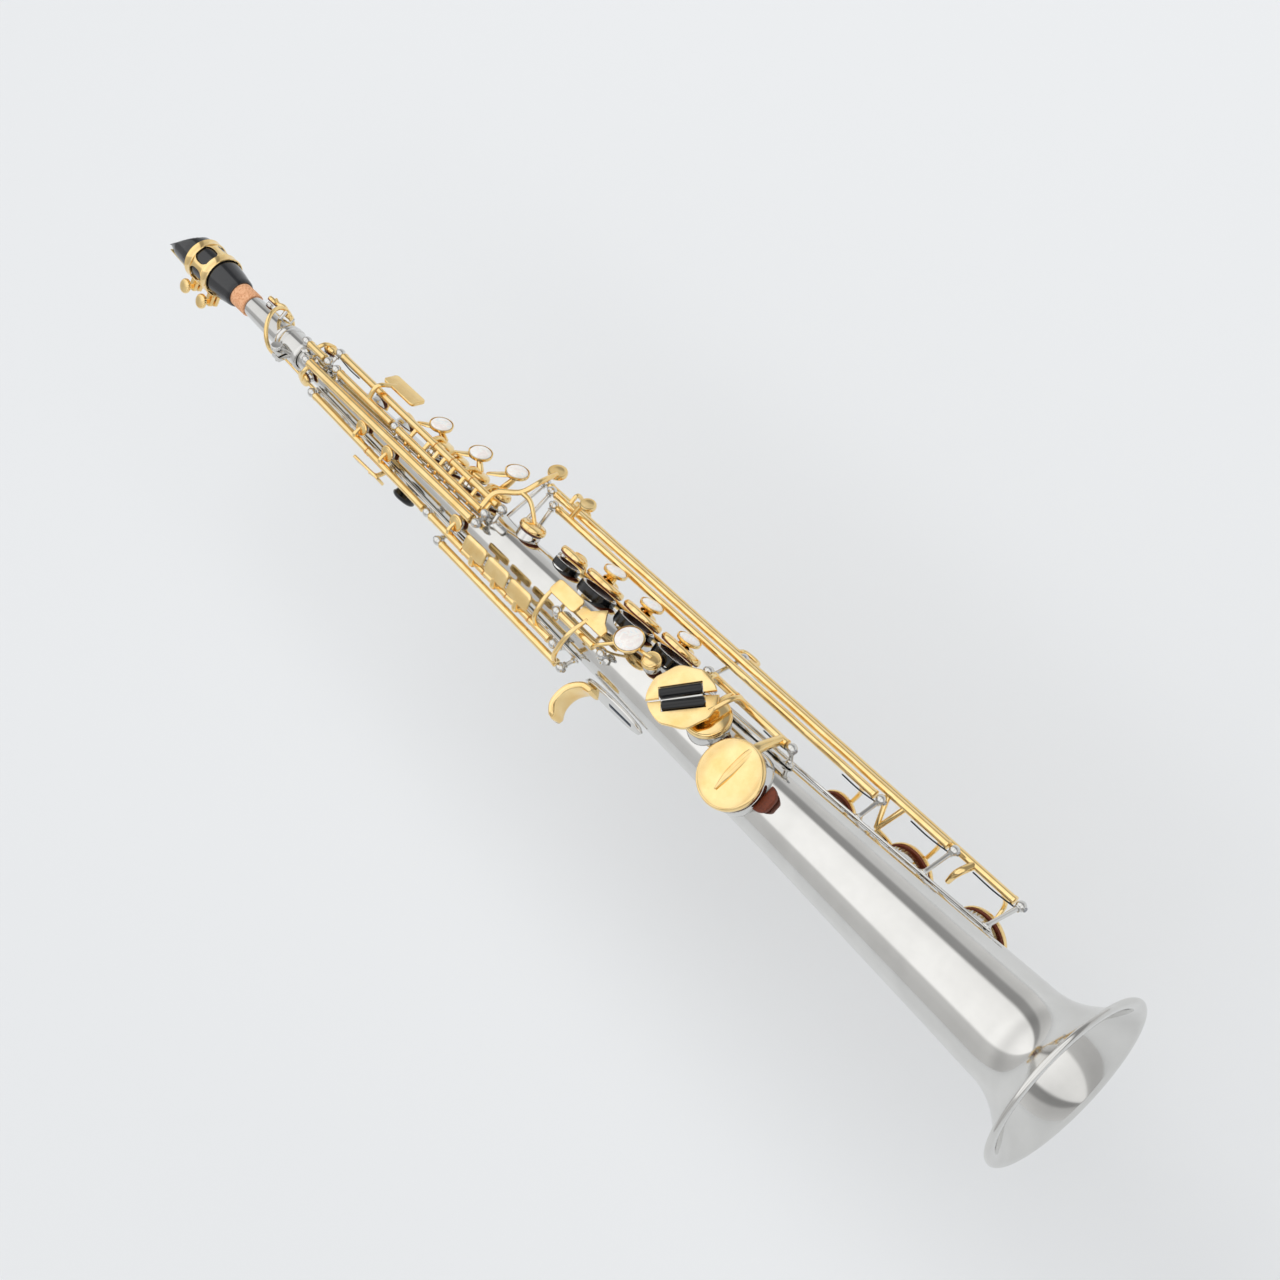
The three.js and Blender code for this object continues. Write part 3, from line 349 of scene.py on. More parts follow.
tube_heights = np.concatenate([np.linspace(61.4, 165, 12), np.linspace(170, 565.8, 40)])
tube_outside = np.stack([tube_radius(tube_heights), tube_heights], -1)
tube_inside = np.stack([tube_radius(tube_heights) - WALL, tube_heights], -1)
bell_heights = np.concatenate([np.linspace(61, 34, 8), np.linspace(32, 1.6, 26)])
BEAD_RADIUS = 1.5
bead = np.radians(np.linspace(165, -90, 15))
bead_middle = THROAT_RADIUS + RIM_GAIN
bead_ring = np.stack([bead_middle + BEAD_RADIUS * np.cos(bead),
    BEAD_RADIUS + BEAD_RADIUS * np.sin(bead)], -1)
lip = np.array([(44.2, 0.03), (43.2, 0.12)])
inner_heights = np.concatenate([np.linspace(0.3, 30, 26), np.linspace(33, 61, 8)])
outline = np.vstack([tube_outside[::-1], np.stack([bell_outside(bell_heights), bell_heights], -1),
    bead_ring, lip,
    np.stack([bell_outside(inner_heights + 1.2) - WALL, inner_heights], -1), tube_inside])
chimneys = []
for hole, (z, angle, radius, rise) in tone_holes.items():
    lowered = BELL_CHIMNEY_DROP if hole in ("low_b", "low_bb") else 0.0
    top = surface(z) + rise - lowered
    foot = max(2.0, top - rise - radius ** 2 / (2 * (top - rise)) - 1.0)
    edge = [(radius + 0.9, foot), (radius + 0.9, top - 0.25), (radius + 0.65, top), (radius + 0.25, top),
        (radius, top - 0.25), (radius, foot)]
    chimneys.append(turned(edge, np.array([0, 0, z], float), at(0, 1, angle), 40, loop=True))
shell("tube_and_bell", [round_bore(outline, 128), *chimneys], silver_plate, "body",
    ["body_tube", "bell"], crease=60)

# ---- ribs and posts ---------------------------------------------------------
# Silver plated brass straps soldered along the tube. Each post is turned and soldered on its strap: a
# foot, a waisted stem and a ball head that holds the pivot screw of a hinge tube.

hinge_lines = {  # (height, stand-off from the tube, angle) at both ends
    "stack": ((390, 8.2, 38), (538, 9.4, 56)), "front": ((395, 6.0, 17), (559, 6.3, 30)),
    "side": ((395, 5.6, -4), (549, 5.8, -4)), "thumb": ((319, 5.8, -59), (536, 5.8, -59)),
    "outer": ((309, 9.6, -73), (412, 10.4, -73)), "trill": ((290.5, 5.0, -14), (325, 5.0, -14)),
    "lower": ((187, 10.6, 54), (247, 9.6, 64)), "right_stack": ((254, 8.2, 130), (364, 8.2, 130)),
    "bell_c_sharp": ((149, 15, 101), (384, 20, 101)), "bell_b": ((109, 19.4, 104.5), (393, 25.6, 104.5)),
    "bell_bb": ((72, 21.6, 112), (403, 29.0, 112)), "palm": ((470, 6.4, 155), (524, 6.4, 155)),
    "octave": ((462, 6.2, -145), (512, 6.2, -145)),
}


def line_ends(name):
    """The lower and upper end of a hinge line."""
    return [at(z, surface(z) + off, angle) for z, off, angle in hinge_lines[name]]


def on_line(name, z):
    """The point of a hinge line at a height."""
    low, high = line_ends(name)
    return low + (high - low) * (z - low[2]) / (high[2] - low[2])


def smooth_path(points, steps=8):
    """A curve through the points: between two of them, a cubic whose slope at each is half
    the step across it."""
    p = np.array(points, float)
    if len(p) == 2:
        return p
    p = np.vstack([2 * p[0] - p[1], p, 2 * p[-1] - p[-2]])
    t = np.linspace(0, 1, steps, endpoint=False)[None, :, None]
    a, b, c, d = (p[i:len(p) - 3 + i, None] for i in range(4))
    curve = b + t * (c - a) / 2 + t ** 2 * (2 * a - 5 * b + 4 * c - d) / 2 + t ** 3 * (
        3 * b - a - 3 * c + d) / 2
    return np.vstack([curve.reshape(-1, 3), p[-2]])


def tube(points, radius, sides=16, flat=1.0, side=None, loop=False, steps=8):
    """A round bar along a smooth path: rings of the radius square to the path, or ellipses
    that are flat times as
    thick across the direction side. The radius may run through several values. Its ends are
    a little rounded."""
    path = smooth_path(points, steps)
    along = np.gradient(path, axis=0)
    if loop:
        path = path[:-1]
        along = np.roll(path, -1, 0) - np.roll(path, 1, 0)
    along /= np.linalg.norm(along, axis=1, keepdims=True)
    radii = np.interp(np.linspace(0, 1, len(path)), np.linspace(0, 1, np.size(radius)),
        np.atleast_1d(radius))
    if not loop:
        first_step, last_step = np.linalg.norm(path[1] - path[0]), np.linalg.norm(path[-1] - path[-2])
        path = np.vstack([path[:1], path[:1] + along[:1] * min(0.35 * radii[0],
            0.5 * first_step), path[1:-1],
            path[-1:] - along[-1:] * min(0.35 * radii[-1], 0.5 * last_step), path[-1:]])
        along = np.vstack([along[:1], along, along[-1:]])
        radii = np.concatenate([radii[:1] * 0.7, radii[:1], radii[1:-1], radii[-1:], radii[-1:] * 0.7])
    if side is None:
        side = np.eye(3)[np.argmin(np.abs(path[-1] - path[0]))] if not loop else np.linalg.svd(
            path - path.mean(0))[2][2]
    first = np.cross(along, side)
    first /= np.linalg.norm(first, axis=1, keepdims=True)
    second = np.cross(along, first)
    v = np.linspace(0, 2 * np.pi, sides, endpoint=False)[None, :, None]
    rings = path[:, None] + radii[:, None, None] * (np.cos(v) * first[:,
        None] + flat * np.sin(v) * second[:, None])
    return skin(rings, loop)


def ball(centre, radius, sides=20):
    """A ball: rings whose radius is the cosine of the latitude."""
    latitude = np.radians(np.linspace(-84, 84, 13))
    return turned(np.stack([radius * np.cos(latitude), radius * np.sin(latitude)], -1), centre, UP, sides)


def bar(along, low, high, thickness, edge=0.5):
    """A flat plate in its own plane: at each place along it, a section from low to high
    with rounded corners.
    Both ends thin out in a quarter round."""
    along, low, high = (np.array(v, float) for v in (along, low, high))
    reach = np.minimum(edge, np.maximum(0.02, (high - low) / 2))
    near = np.clip(np.minimum(along - along[0], along[-1] - along) / edge, 0.12, 1)
    half = thickness / 2 * np.sqrt(1 - (1 - near) ** 2)
    v = np.radians(np.array([180, 210, 240, 270, 270, 300, 330, 360, 0, 30, 60, 90, 90, 120, 150, 180]))
    right = (np.cos(v) > 0.001) | (np.isin(np.arange(16), [4, 11]))
    top = np.arange(16) >= 8
    across = np.where(right, (high - reach)[:, None], (low + reach)[:, None]) + reach[:, None] * np.cos(v)
    small = np.minimum(reach, half)[:, None]
    lift = np.where(top, half[:, None] - small, small - half[:, None]) + small * np.sin(v)
    return np.stack([np.broadcast_to(along[:, None], across.shape), across, lift], -1)


def placed(sections, z, distance, degrees, turn=0.0, bend=False, facing=None):
    """Puts a plate's sections in place: its length along the bore, its width round it, or,
    with bend, on a curve
    about the bore. Turn rotates it in its plane. Facing gives it another way to look than
    straight outwards."""
    a, t = math.radians(degrees), math.radians(turn)
    x = sections[..., 0] * math.cos(t) - sections[..., 1] * math.sin(t)
    y = sections[..., 0] * math.sin(t) + sections[..., 1] * math.cos(t)
    lift = distance + sections[..., 2]
    out = at(0, 1, degrees if facing is None else facing)
    across = np.cross(out, UP)
    if bend:
        swing = a - y / distance
        return skin(np.stack([-lift * np.cos(swing), -lift * np.sin(swing), z + x], -1))
    return skin(at(z, distance, degrees) + x[..., None] * UP + y[...,
        None] * across + sections[..., 2:] * out)


def strap(angle, low, high, width=4.0):
    """A thin strap from one height to another on the tube, as a plate that follows its taper."""
    z = np.array([low, low + 1, (low + high) / 2, high - 1, high], float)
    sections = bar(z, [-width / 3, -width / 2, -width / 2, -width / 2, -width / 3],
        [width / 3, width / 2, width / 2, width / 2, width / 3], 1.2, 0.4)
    a = math.radians(angle)
    out = np.array([-math.cos(a), -math.sin(a), 0])
    lift = tube_radius(sections[..., 0]) + 0.95 + sections[..., 2]
    return skin(sections[..., :1] * UP + sections[..., 1:2] * np.cross(out, UP) + lift[..., None] * out)


def post(line, z, angle):
    """A turned post from its strap to a hinge line: foot, stem with a shoulder, collar and ball."""
    head = on_line(line, z)
    foot = at(z, surface(z) + 1.2, angle)
    shoulder = at(z, surface(z) + 3.2, angle)
    up = (head - shoulder) / np.linalg.norm(head - shoulder)
    base = turned([(2.6, 0), (2.7, 0.5), (1.9, 1.0), (1.35, 1.8), (1.2, 2.2)], foot, shoulder - foot, 24)
    collar = turned([(1.2, 0), (1.75, 0.35), (1.75, 0.8), (1.2, 1.1)], head - 3.4 * up, up, 20)
    return [base, tube([foot, shoulder, head], [1.5, 1.2, 1.1, 1.2], 14), collar, ball(head, 2.6)]


ribs = {  # angle, lower and upper end, and its posts as (hinge line, height)
    "upper_rib": (22, 382, 560, [("stack", 390), ("stack", 538), ("front", 395), ("front", 474.5),
    ("front", 530),
        ("front", 538), ("front", 559), ("side", 395), ("side", 549)]),
    "thumb_rib": (-80, 307, 540, [("thumb", 319), ("thumb", 427), ("thumb", 536), ("outer", 309),
    ("outer", 412),
        ("octave", 462), ("octave", 512)]),
    "side_rib": (-22, 287, 329, [("trill", 290.5), ("trill", 325)]),
    "lower_rib": (64, 184, 250, [("lower", 187), ("lower", 247)]),
    "bell_rib": (94, 69, 255, [("bell_bb", 72), ("bell_bb", 252.5), ("bell_b", 109), ("bell_c_sharp", 149)]),
    "left_rib": (134, 251, 407, [("right_stack", 254), ("right_stack", 364), ("bell_bb", 403),
    ("bell_b", 393),
        ("bell_c_sharp", 384)]),
    "palm_rib": (162, 467, 527, [("palm", 470), ("palm", 524)]),
}
for name, (angle, low, high, posts) in ribs.items():
    skins = [strap(angle, low, high)]
    for line, z in posts:
        skins += post(line, z, angle)
    shell(name + "_plated", skins, silver_plate, "body", [name])

# ---- pivot screws and springs -----------------------------------------------
# Round headed steel screws turned into the ball heads, and blued steel needle springs, set in the posts,
# that lie beside the hinge tubes.

steel = buffed("turned_steel", "#B9BABC", "#8F9195", 0.2, 0.32, grain=2)
# Blued steel for the springs; the same dark steel paints the shade inside the slot of the thumb hook plate.
blued_steel_and_painted_shade = buffed("spring_steel_and_painted_shade", "#3A4250", "#262C36", 0.25, 0.4, grain=2)
screws = []
for line in hinge_lines:
    for end, other in (line_ends(line), line_ends(line)[::-1]):
        out = (end - other) / np.linalg.norm(end - other)
        screws.append(turned([(1.2, 2.2), (1.2, 2.75), (0.9, 2.95), (0.3, 2.9)], end, out, 16))
shell("pivot_screws", screws, steel, "body")

springs = []
for line, z, reach in (("bell_bb", 72, 26), ("bell_b", 109, 24), ("bell_c_sharp", 149, 22),
    ("bell_bb", 252.5, -22),
        ("lower", 187, 18), ("right_stack", 254, 16), ("stack", 538, -20), ("palm", 470, 14)):
    start, end = on_line(line, z), on_line(line, z + reach)
    inward = -start * [1, 1, 0] / np.linalg.norm(start[:2])
    springs.append(tube([start + 2.2 * inward, (start + end) / 2 + 3.3 * inward,
        end + 3.2 * inward], 0.35, 8))
shell("needle_springs", springs, blued_steel_and_painted_shade, "body")

# ---- keys -------------------------------------------------------------------
# Brass keys, silver soldered from a hinge tube, arms, cups and touches, then buffed and lacquered gold.
# Each cup holds a pad of brown leather over felt.

gold_lacquer = buffed("gold_lacquer_buffed", "#FBDEA2", "#F4CE88", 0.08, 0.15, grain=8, waver=0.02)

pad_leather, tree, shader, where = finish_of("pad_leather_oiled", "#74300F", roughness=0.5)
hide = put(tree, "TexVoronoi", {"Scale": 1 / (0.6 * MM)}, [(where, 0)])
hide_tint = put(tree, "Mix", {"data_type": "RGBA", 6: linear("#84380F"), 7: linear("#4E1C08")},
    [(hide.outputs[0], 0)])
tree.links.new(hide_tint.outputs[2], shader.inputs["Base Color"])
hide_bump = put(tree, "Bump", {"Strength": 0.3, "Distance": 0.08 * MM}, [(hide.outputs[0], "Height")])
tree.links.new(hide_bump.outputs[0], shader.inputs["Normal"])

nacre, tree, shader, where = finish_of("nacre_polished", "#E9ECEE", roughness=0.16)
shader.inputs["Coat Weight"].default_value = 0.6
shader.inputs["Coat Roughness"].default_value = 0.08
cloud = put(tree, "TexNoise", {"Scale": 1 / (3.5 * MM), "Detail": 4.0, "Distortion": 1.5}, [(where, 0)])
sheen = put(tree, "ValToRGB", {}, [(cloud.outputs[0], 0)])
set_ramp(sheen, [(0.3, linear("#D9E2EA")), (0.45, linear("#F4F2EC")), (0.58, linear("#EDE3DF")),
    (0.72, linear("#DDE9E4"))])
tree.links.new(sheen.outputs[0], shader.inputs["Base Color"])

CUP_HEIGHT = 4.2
RIM = 1.9  # how far a cup stands out past its hole


def cup_floor(hole):
    """Distance from the bore axis to the underside of a hole's pad."""
    z, _, _, rise = tone_holes[hole]
    return surface(z) + rise + 0.35


def cup(hole, height=CUP_HEIGHT):
    """A pressed cup: an upright wall, a rounded shoulder with a fine groove and a slightly crowned top."""
    z, angle, radius, _ = tone_holes[hole]
    r, base = radius + RIM, cup_floor(hole)
    profile = [(r - 0.7, 0.9), (r - 0.1, 0.95), (r, 1.1), (r, 0.5 * height), (r - 0.12, 0.66 * height),
        (r - 0.4, 0.8 * height), (r - 0.85, 0.88 * height), (r - 1.15, 0.86 * height),
        (r - 1.45, 0.9 * height),
        (0.55 * r, 0.97 * height), (0.2 * r, height), (0.05 * r, height)]
    return turned(profile, at(z, base, angle), at(0, 1, angle), 48 if radius > 8 else 32)


def pad(hole, height=1.9):
    """A pad: a flat cushion with a round edge, proud of its cup, and a shallow seat pressed
    in by the chimney."""
    z, angle, radius, _ = tone_holes[hole]
    r = radius + RIM - 0.45
    profile = [(r - 0.8, height), (r, height - 0.1), (r + 0.1, 0.9), (r - 0.1, 0.35), (r - 0.5, 0.08),
        (radius + 0.75, 0.06), (radius + 0.45, 0.14), (radius - 0.2, 0.06), (0.2, 0.04)]
    return turned(profile, at(z, cup_floor(hole), angle), at(0, 1, angle), 48 if radius > 8 else 28)


def arm(hole, line, arm_height=None, height=CUP_HEIGHT, radius=(1.3, 1.15, 0.9), past=0.35):
    """The bowed arm from a hinge line over the top of its cup, tapering to a point past the middle."""
    z, angle, hole_radius, _ = tone_holes[hole]
    foot = on_line(line, z if arm_height is None else arm_height)
    foot_angle = math.degrees(math.atan2(-foot[1], -foot[0]))
    top = cup_floor(hole) + height
    bow = max(top, math.hypot(foot[0], foot[1])) + 0.4
    middle = at((foot[2] + z) / 2, bow, (foot_angle + angle) / 2)
    end = at(z, top - 0.1, angle)
    inward = end - at(z, top + 0.3, angle + (foot_angle - angle) * 0.25)
    tip = end + inward / np.linalg.norm(inward) * hole_radius * past
    return tube([foot, middle, end, tip], [*radius, 0.35], 14)


def hinge_tube(line, low, high, radius=2.0):
    """A drawn tube with a slightly thicker ring soldered at each end."""
    a, b = on_line(line, low), on_line(line, high)
    out = (b - a) / np.linalg.norm(b - a)
    length = np.linalg.norm(b - a)
    thick = radius + 0.22
    profile = [(radius - 0.2, 0), (thick, 0.15), (thick, 1.4), (radius, 1.6), (radius, length - 1.6),
        (thick, length - 1.4), (thick, length - 0.15), (radius - 0.2, length)]
    return turned(profile, a, out, 24)


def lifted(skins, line, degrees):
    """Turns skins about a hinge line: each point keeps its part along the axis, and the rest
    swings by the angle."""
    low, high = line_ends(line)
    axis = (high - low) / np.linalg.norm(high - low)
    a = math.radians(degrees)
    made = []
    for points, quads, fans in skins:
        q = points - low
        q = q * math.cos(a) + np.cross(axis, q) * math.sin(a) + np.outer(q @ axis, axis) * (1 - math.cos(a))
        made.append((q + low, quads, fans))
    return made


def pearl_seat(hole, z, distance, angle, facing, radius=5.6, stem=1.7):
    """The cup of a pearl: a shallow dish with an upright rim, and its stem from the
    middle of the key cup."""
    top = cup_floor(hole) + CUP_HEIGHT - 0.3
    out = at(0, 1, facing)
    dish = [(1.4, -0.9), (radius - 0.6, -0.8), (radius + 0.6, -0.3), (radius + 0.8, 0.5),
        (radius + 0.75, 1.3),
        (radius + 0.45, 1.35), (radius + 0.4, 0.35), (0.3, 0.3)]
    foot = at(tone_holes[hole][0], top, tone_holes[hole][1])
    seat = at(z, distance, angle)
    return [turned(dish, seat, out, 36), tube([foot, seat - 2.2 * out, seat - 0.4 * out],
        [stem * 1.2, stem * 0.8, stem], 16)]


def pearl_disc(z, distance, angle, facing, radius=5.6):
    """A pearl: a disc whose top falls away as the square of the radius, with a rounded edge."""
    share = np.linspace(0.02, 0.86, 7)[::-1]
    crown = [(radius * s, 2.45 - 0.75 * s ** 2) for s in share]
    profile = [(radius * 0.5, 0.36), (radius - 0.2, 0.36), (radius - 0.05, 0.7), (radius - 0.1, 1.3), *crown]
    return turned(profile, at(z, distance, angle), at(0, 1, facing), 36)


def touch_disc(z, distance, angle, facing, radius, thickness=2.6):
    """A thick round touch with a broken edge and a slightly hollow top."""
    t = thickness / 2
    profile = [(radius - 1.0, -t), (radius - 0.2, -t + 0.3), (radius, -t + 0.9), (radius, t - 0.9),
        (radius - 0.25, t - 0.25),
        (radius - 0.9, t), (radius * 0.6, t - 0.25), (0.2, t - 0.4)]
    return turned(profile, at(z, distance, angle), at(0, 1, facing), 40)


def round_ends(length, width, corner=2.2, count=9):
    """Places along a plate and half its width there: full in the middle, with corners of
    the given radius."""
    half = length / 2
    bend = np.linspace(0, np.pi / 2, count)
    x = corner * (1 - np.cos(bend))
    drop = corner * (1 - np.sin(bend))
    along = np.concatenate([-half + x, half - x[::-1]])
    return along, width / 2 - np.concatenate([drop, drop[::-1]])


def touch_plate(z, distance, angle, length, width, thickness=1.6, **more):
    """A flat touch with rounded corners, length along the bore and width round it."""
    along, half = round_ends(length, width, min(2.4, width * 0.45, length * 0.45))
    return placed(bar(along, -half, half, thickness, 0.5), z, distance, angle, **more)


def make_key(name, line, metal, pads=(), pearl=None, lift=0.0):
    """One key: its gold parts as one piece, its pads as one, and its pearl."""
    shell(name + "_brass", lifted(metal, line, lift), gold_lacquer, name, [name])
    if pads:
        shell(name + "_pad", lifted(pads, line, lift), pad_leather, name)
    if pearl:
        pearl_name, seat = pearl
        shell(pearl_name + "_nacre", lifted([pearl_disc(*seat)], line, lift), nacre, name,
            [pearl_name])


# ---- left hand stack --------------------------------------------------------
# B, bis, A and G keys of lacquered brass turn on one long rod between two posts and stand open at rest.
# Three of them carry a pearl for a finger, and two short feet under each tube stop the key.

LEFT_LIFT = -6
# Ends of the hinge tube; the pearl's height, distance, angle and the way it looks.
for hole, low, high, seat in (
        ("b", 447.5, 534.7, (459, 22.4, 74, 50)), ("bis", 433, 447.1, None),
        ("a", 416, 432.6, (428, 25.5, 74, 50)), ("g", 393.3, 415.6, (402.5, 31, 75, 52))):
    height = CUP_HEIGHT if seat else 3.4
    metal = [hinge_tube("stack", low, high), cup(hole, height), arm(hole, "stack", height=height)]
    for z in np.linspace(low + 5, min(high, low + 20) - 3, 2):
        foot = [on_line("stack", z), at(z - 1, surface(z) + 5.6, 20), at(z - 1.5, surface(z) + 4.2, 8)]
        metal.append(tube(foot, [1.3, 1.1, 0.9], 12))
    if seat:
        metal += pearl_seat(hole, *seat)
        pearl_z, reach, _, _ = seat
        slope = [at(pearl_z + 13, 0.72 * reach, 64), at(pearl_z + 6, 0.85 * reach, 69),
            at(pearl_z + 1, reach - 1.6, 73)]
        metal.append(tube(slope, [1.5, 2.6, 2.2], 16, flat=0.35, side=at(0, 1, 50)))
    make_key("key_" + hole, "stack", metal, [pad(hole)], ("pearl_" + hole,
        seat) if seat else None, LEFT_LIFT)

# ---- right hand stack -------------------------------------------------------
# F sharp, F, E and D keys of lacquered brass on one rod, open at rest, with pearls over the middle of the
# last three. A black plastic ring round each of their chimneys is painted shade: it stands for the dark gap
# under the open cup.

# Black plastic for the rollers and the thumb rest; the same black on the right hand chimney rings is painted
# shade.
black_plastic_and_painted_shade, tree, shader, where = finish_of("moulded_plastic_and_painted_shade", "#0E0F12", roughness=0.12)
grain = put(tree, "TexNoise", {"Scale": 1 / (1.5 * MM), "Detail": 2.0}, [(where, 0)])
gloss = put(tree, "MapRange", {1: 0.3, 2: 0.7, 3: 0.09, 4: 0.18}, [(grain.outputs[0], 0)])
tree.links.new(gloss.outputs[0], shader.inputs["Roughness"])

RIGHT_LIFT = 6
# Black rings round the chimneys: painted shade for the dark gap between each chimney and its open cup.
painted_shade_sleeves = []
for hole, low, high in (("f_sharp", 341.6, 361), ("f", 312.6, 341.2), ("e", 284.6, 312.2),
        ("d", 257.4, 284.2)):
    metal = [hinge_tube("right_stack", low, high), cup(hole), arm(hole, "right_stack")]
    seat = None
    if hole != "f_sharp":
        seat = (tone_holes[hole][0], 26, tone_holes[hole][1], 60)
        metal += pearl_seat(hole, *seat, stem=3.2)
    z, angle, radius, rise = tone_holes[hole]
    rim = surface(z) + rise
    foot = rim - rise - radius ** 2 / (2 * rim)
    painted_shade_sleeves.append(turned([(radius + 0.95, foot), (radius + 1.3, foot + 0.2), (radius + 1.4, rim - 0.7),
        (radius + 1.1, rim - 0.3),
        (radius + 0.95, rim - 0.4)], np.array([0, 0, z]), at(0, 1, angle), 48, loop=True))
    make_key("key_" + hole, "right_stack", metal, [pad(hole)],
        ("pearl_" + hole, seat) if seat else None, RIGHT_LIFT)

# The black chimney rings paint the shade of the gap under each open cup.
shell("chimney_painted_shade_sleeves", painted_shade_sleeves, black_plastic_and_painted_shade, "body")

# ---- G sharp key ------------------------------------------------------------
# Lacquered brass: one tube on the front rod, a curved arm to the round little finger touch, and a branch to
# the cup, all soldered together.

bend_point = at(390, 29, 61)  # where the branch leaves the arm
make_key("key_g_sharp", "front", [
    hinge_tube("front", 398.2, 471.3), cup("g_sharp"),
    tube([on_line("front", 399.4), at(398, 24.5, 42), bend_point, at(388, 38, 74), at(391, 44, 89)],
    [1.6, 1.5, 1.5, 1.4, 1.3], 16),
    tube([bend_point, at(384, 27, 66), at(376, cup_floor("g_sharp") + CUP_HEIGHT - 0.3, 70)],
    [1.4, 1.3, 1.0], 14),
    touch_disc(393, 45, 92, 35, 5.2),
], [pad("g_sharp")])

# ---- side keys --------------------------------------------------------------
# Flat little cups of lacquered brass high up, on the side and thumb rods, and the three touches that work
# them for the side of the right hand.

FLAT_CUP = 2.2
make_key("key_high_e", "side", [hinge_tube("side", 398.2, 545.8, 2.5), cup("high_e", 3.0),
    arm("high_e", "side", 544.6, 3.0)], [pad("high_e", 1.4)])
for hole, low, high in (("high_fs", 481.6, 532.8), ("side_c", 430.2, 481.2), ("side_bb", 395, 423.8)):
    make_key("key_" + hole, "thumb", [hinge_tube("thumb", low, high), cup(hole, FLAT_CUP),
        arm(hole, "thumb", height=FLAT_CUP)], [pad(hole, 1.3)])
for name, low, high, z in (("touch_high_e", 376, 394.6, 383.5), ("touch_side_c", 357, 375.6, 365),
        ("touch_side_bb", 338.2, 356.6, 346.5)):
    reach = surface(z) + 9.4
    make_key(name, "thumb", [hinge_tube("thumb", low, high), touch_plate(z, reach, -31, 16.4, 9, bend=True),
        tube([on_line("thumb", z), at(z, reach, -52), at(z, reach - 0.2, -40)], [1.9, 1.6, 1.2], 14)])

# ---- right hand plates and trill key ----------------------------------------
# Two flat lacquered brass plates beside the stack, on arms from the thumb side rods, and a round pearl
# over its own little cup on a short hinge.

make_key("key_side_fs", "thumb", [hinge_tube("thumb", 322.2, 337.8),
    touch_plate(324.6, surface(324.6) + 8.2, 10, 19.4, 8.4),
    tube([on_line("thumb", 333), at(333, surface(333) + 8.4, -38), at(333, surface(333) + 8.4, -14),
        at(333, surface(333) + 8.1, 4)], [1.3, 1.3, 1.2, 1.0], 14)])
pointed = bar([-9.6, -9.3, -8.6, -5.4, -3.2, -1, 1.8, 4.6, 8.8, 9.4, 9.6],
    [0.6, 0.3, -0.3, -1.8, -4.4, -7.3, -4.6, -1.6, -1.5, -1.1, -0.6],
    [3.4, 4.1, 4.4, 4.4, 4.4, 4.4, 4.4, 4.4, 4.3, 4.0, 3.4], 1.6, 0.45)
make_key("lever_high_fs", "outer", [hinge_tube("outer", 312.2, 408.8),
    placed(pointed, 303.4, surface(303.4) + 9.0, 12),
    tube([on_line("outer", 313.6), at(311, 26, -50), at(308, 26, -20), at(306, 24.2, 6)],
    [1.3, 1.3, 1.2, 1.0], 14)])
trill_seat = (283.3, 23.6, 22, 22, 6.9)
make_key("key_trill", "trill", [hinge_tube("trill", 296.2, 321.8), cup("trill"),
    *pearl_seat("trill", *trill_seat, 0.9),
    tube([on_line("trill", 297), at(292.4, 22.4, -4), at(286, 22.8, 13)], 0.95, 12)],
    [pad("trill")], ("pearl_trill", trill_seat))

# ---- front F and its top cup ------------------------------------------------
# Lacquered brass on the front rod: a flat touch above the left hand's first pearl, and further up the cup of
# the highest hole.

make_key("lever_front_f", "front", [hinge_tube("front", 477.6, 526.6),
    tube([on_line("front", 500), at(499, 22.4, 42), at(496, 23.4, 68)], [1.4, 1.3, 1.1], 14),
    touch_plate(491, 24, 70, 26, 9.5, 1.8, facing=46)])
make_key("key_high_f", "front", [hinge_tube("front", 541.2, 555.8), cup("high_f"),
    arm("high_f", "front", 551)],
    [pad("high_f")])

# ---- palm keys --------------------------------------------------------------
# Lacquered brass, on a short hinge between two posts: a cup on one side, and on the other a touch that is
# bent for the palm of the left hand.

# Ends of the hinge tube, height and distance of the touch.
for hole, low, high, touch_z, reach in (
        ("palm_eb", 497.4, 520.8, 500, 23), ("palm_d", 473.2, 497, 478, 26)):
    make_key("key_" + hole, "palm", [hinge_tube("palm", low, high), cup(hole), arm(hole, "palm"),
        touch_plate(touch_z, reach, 184, 17, 9, 1.7, bend=True),
        tube([on_line("palm", touch_z + 4), at(touch_z + 2, reach - 1.5, 172),
        at(touch_z, reach - 0.3, 182)], [1.6, 1.3, 1.1], 14)],
        [pad(hole)])

# ---- little finger keys of the right hand -----------------------------------
# Two halves of one rounded touch of lacquered brass, each soldered to its key, with a notch for a roller of
# black plastic on a steel pin. A thin silver strip is let in beside the upper roller.

CLUSTER = (237.4, 11)      # height and angle of the middle
CLUSTER_RADIUS = 16.6
CLUSTER_TURN = 52          # turn of the split between the halves, in the plane of the touch
ROLLER_HALF = 10           # half its length
ROLLER_RADIUS = 2.6
ROLLER_PLAY = 0.35
PIN_END = 0.6              # how far the pin stands into the brass at each end
SPLIT = 1.1                # half the gap between the halves
NOTCH_HALF = ROLLER_HALF + ROLLER_PLAY
NOTCH_DEPTH = SPLIT + 2 * ROLLER_RADIUS + ROLLER_PLAY
ROLLER_MIDDLE = SPLIT + ROLLER_RADIUS


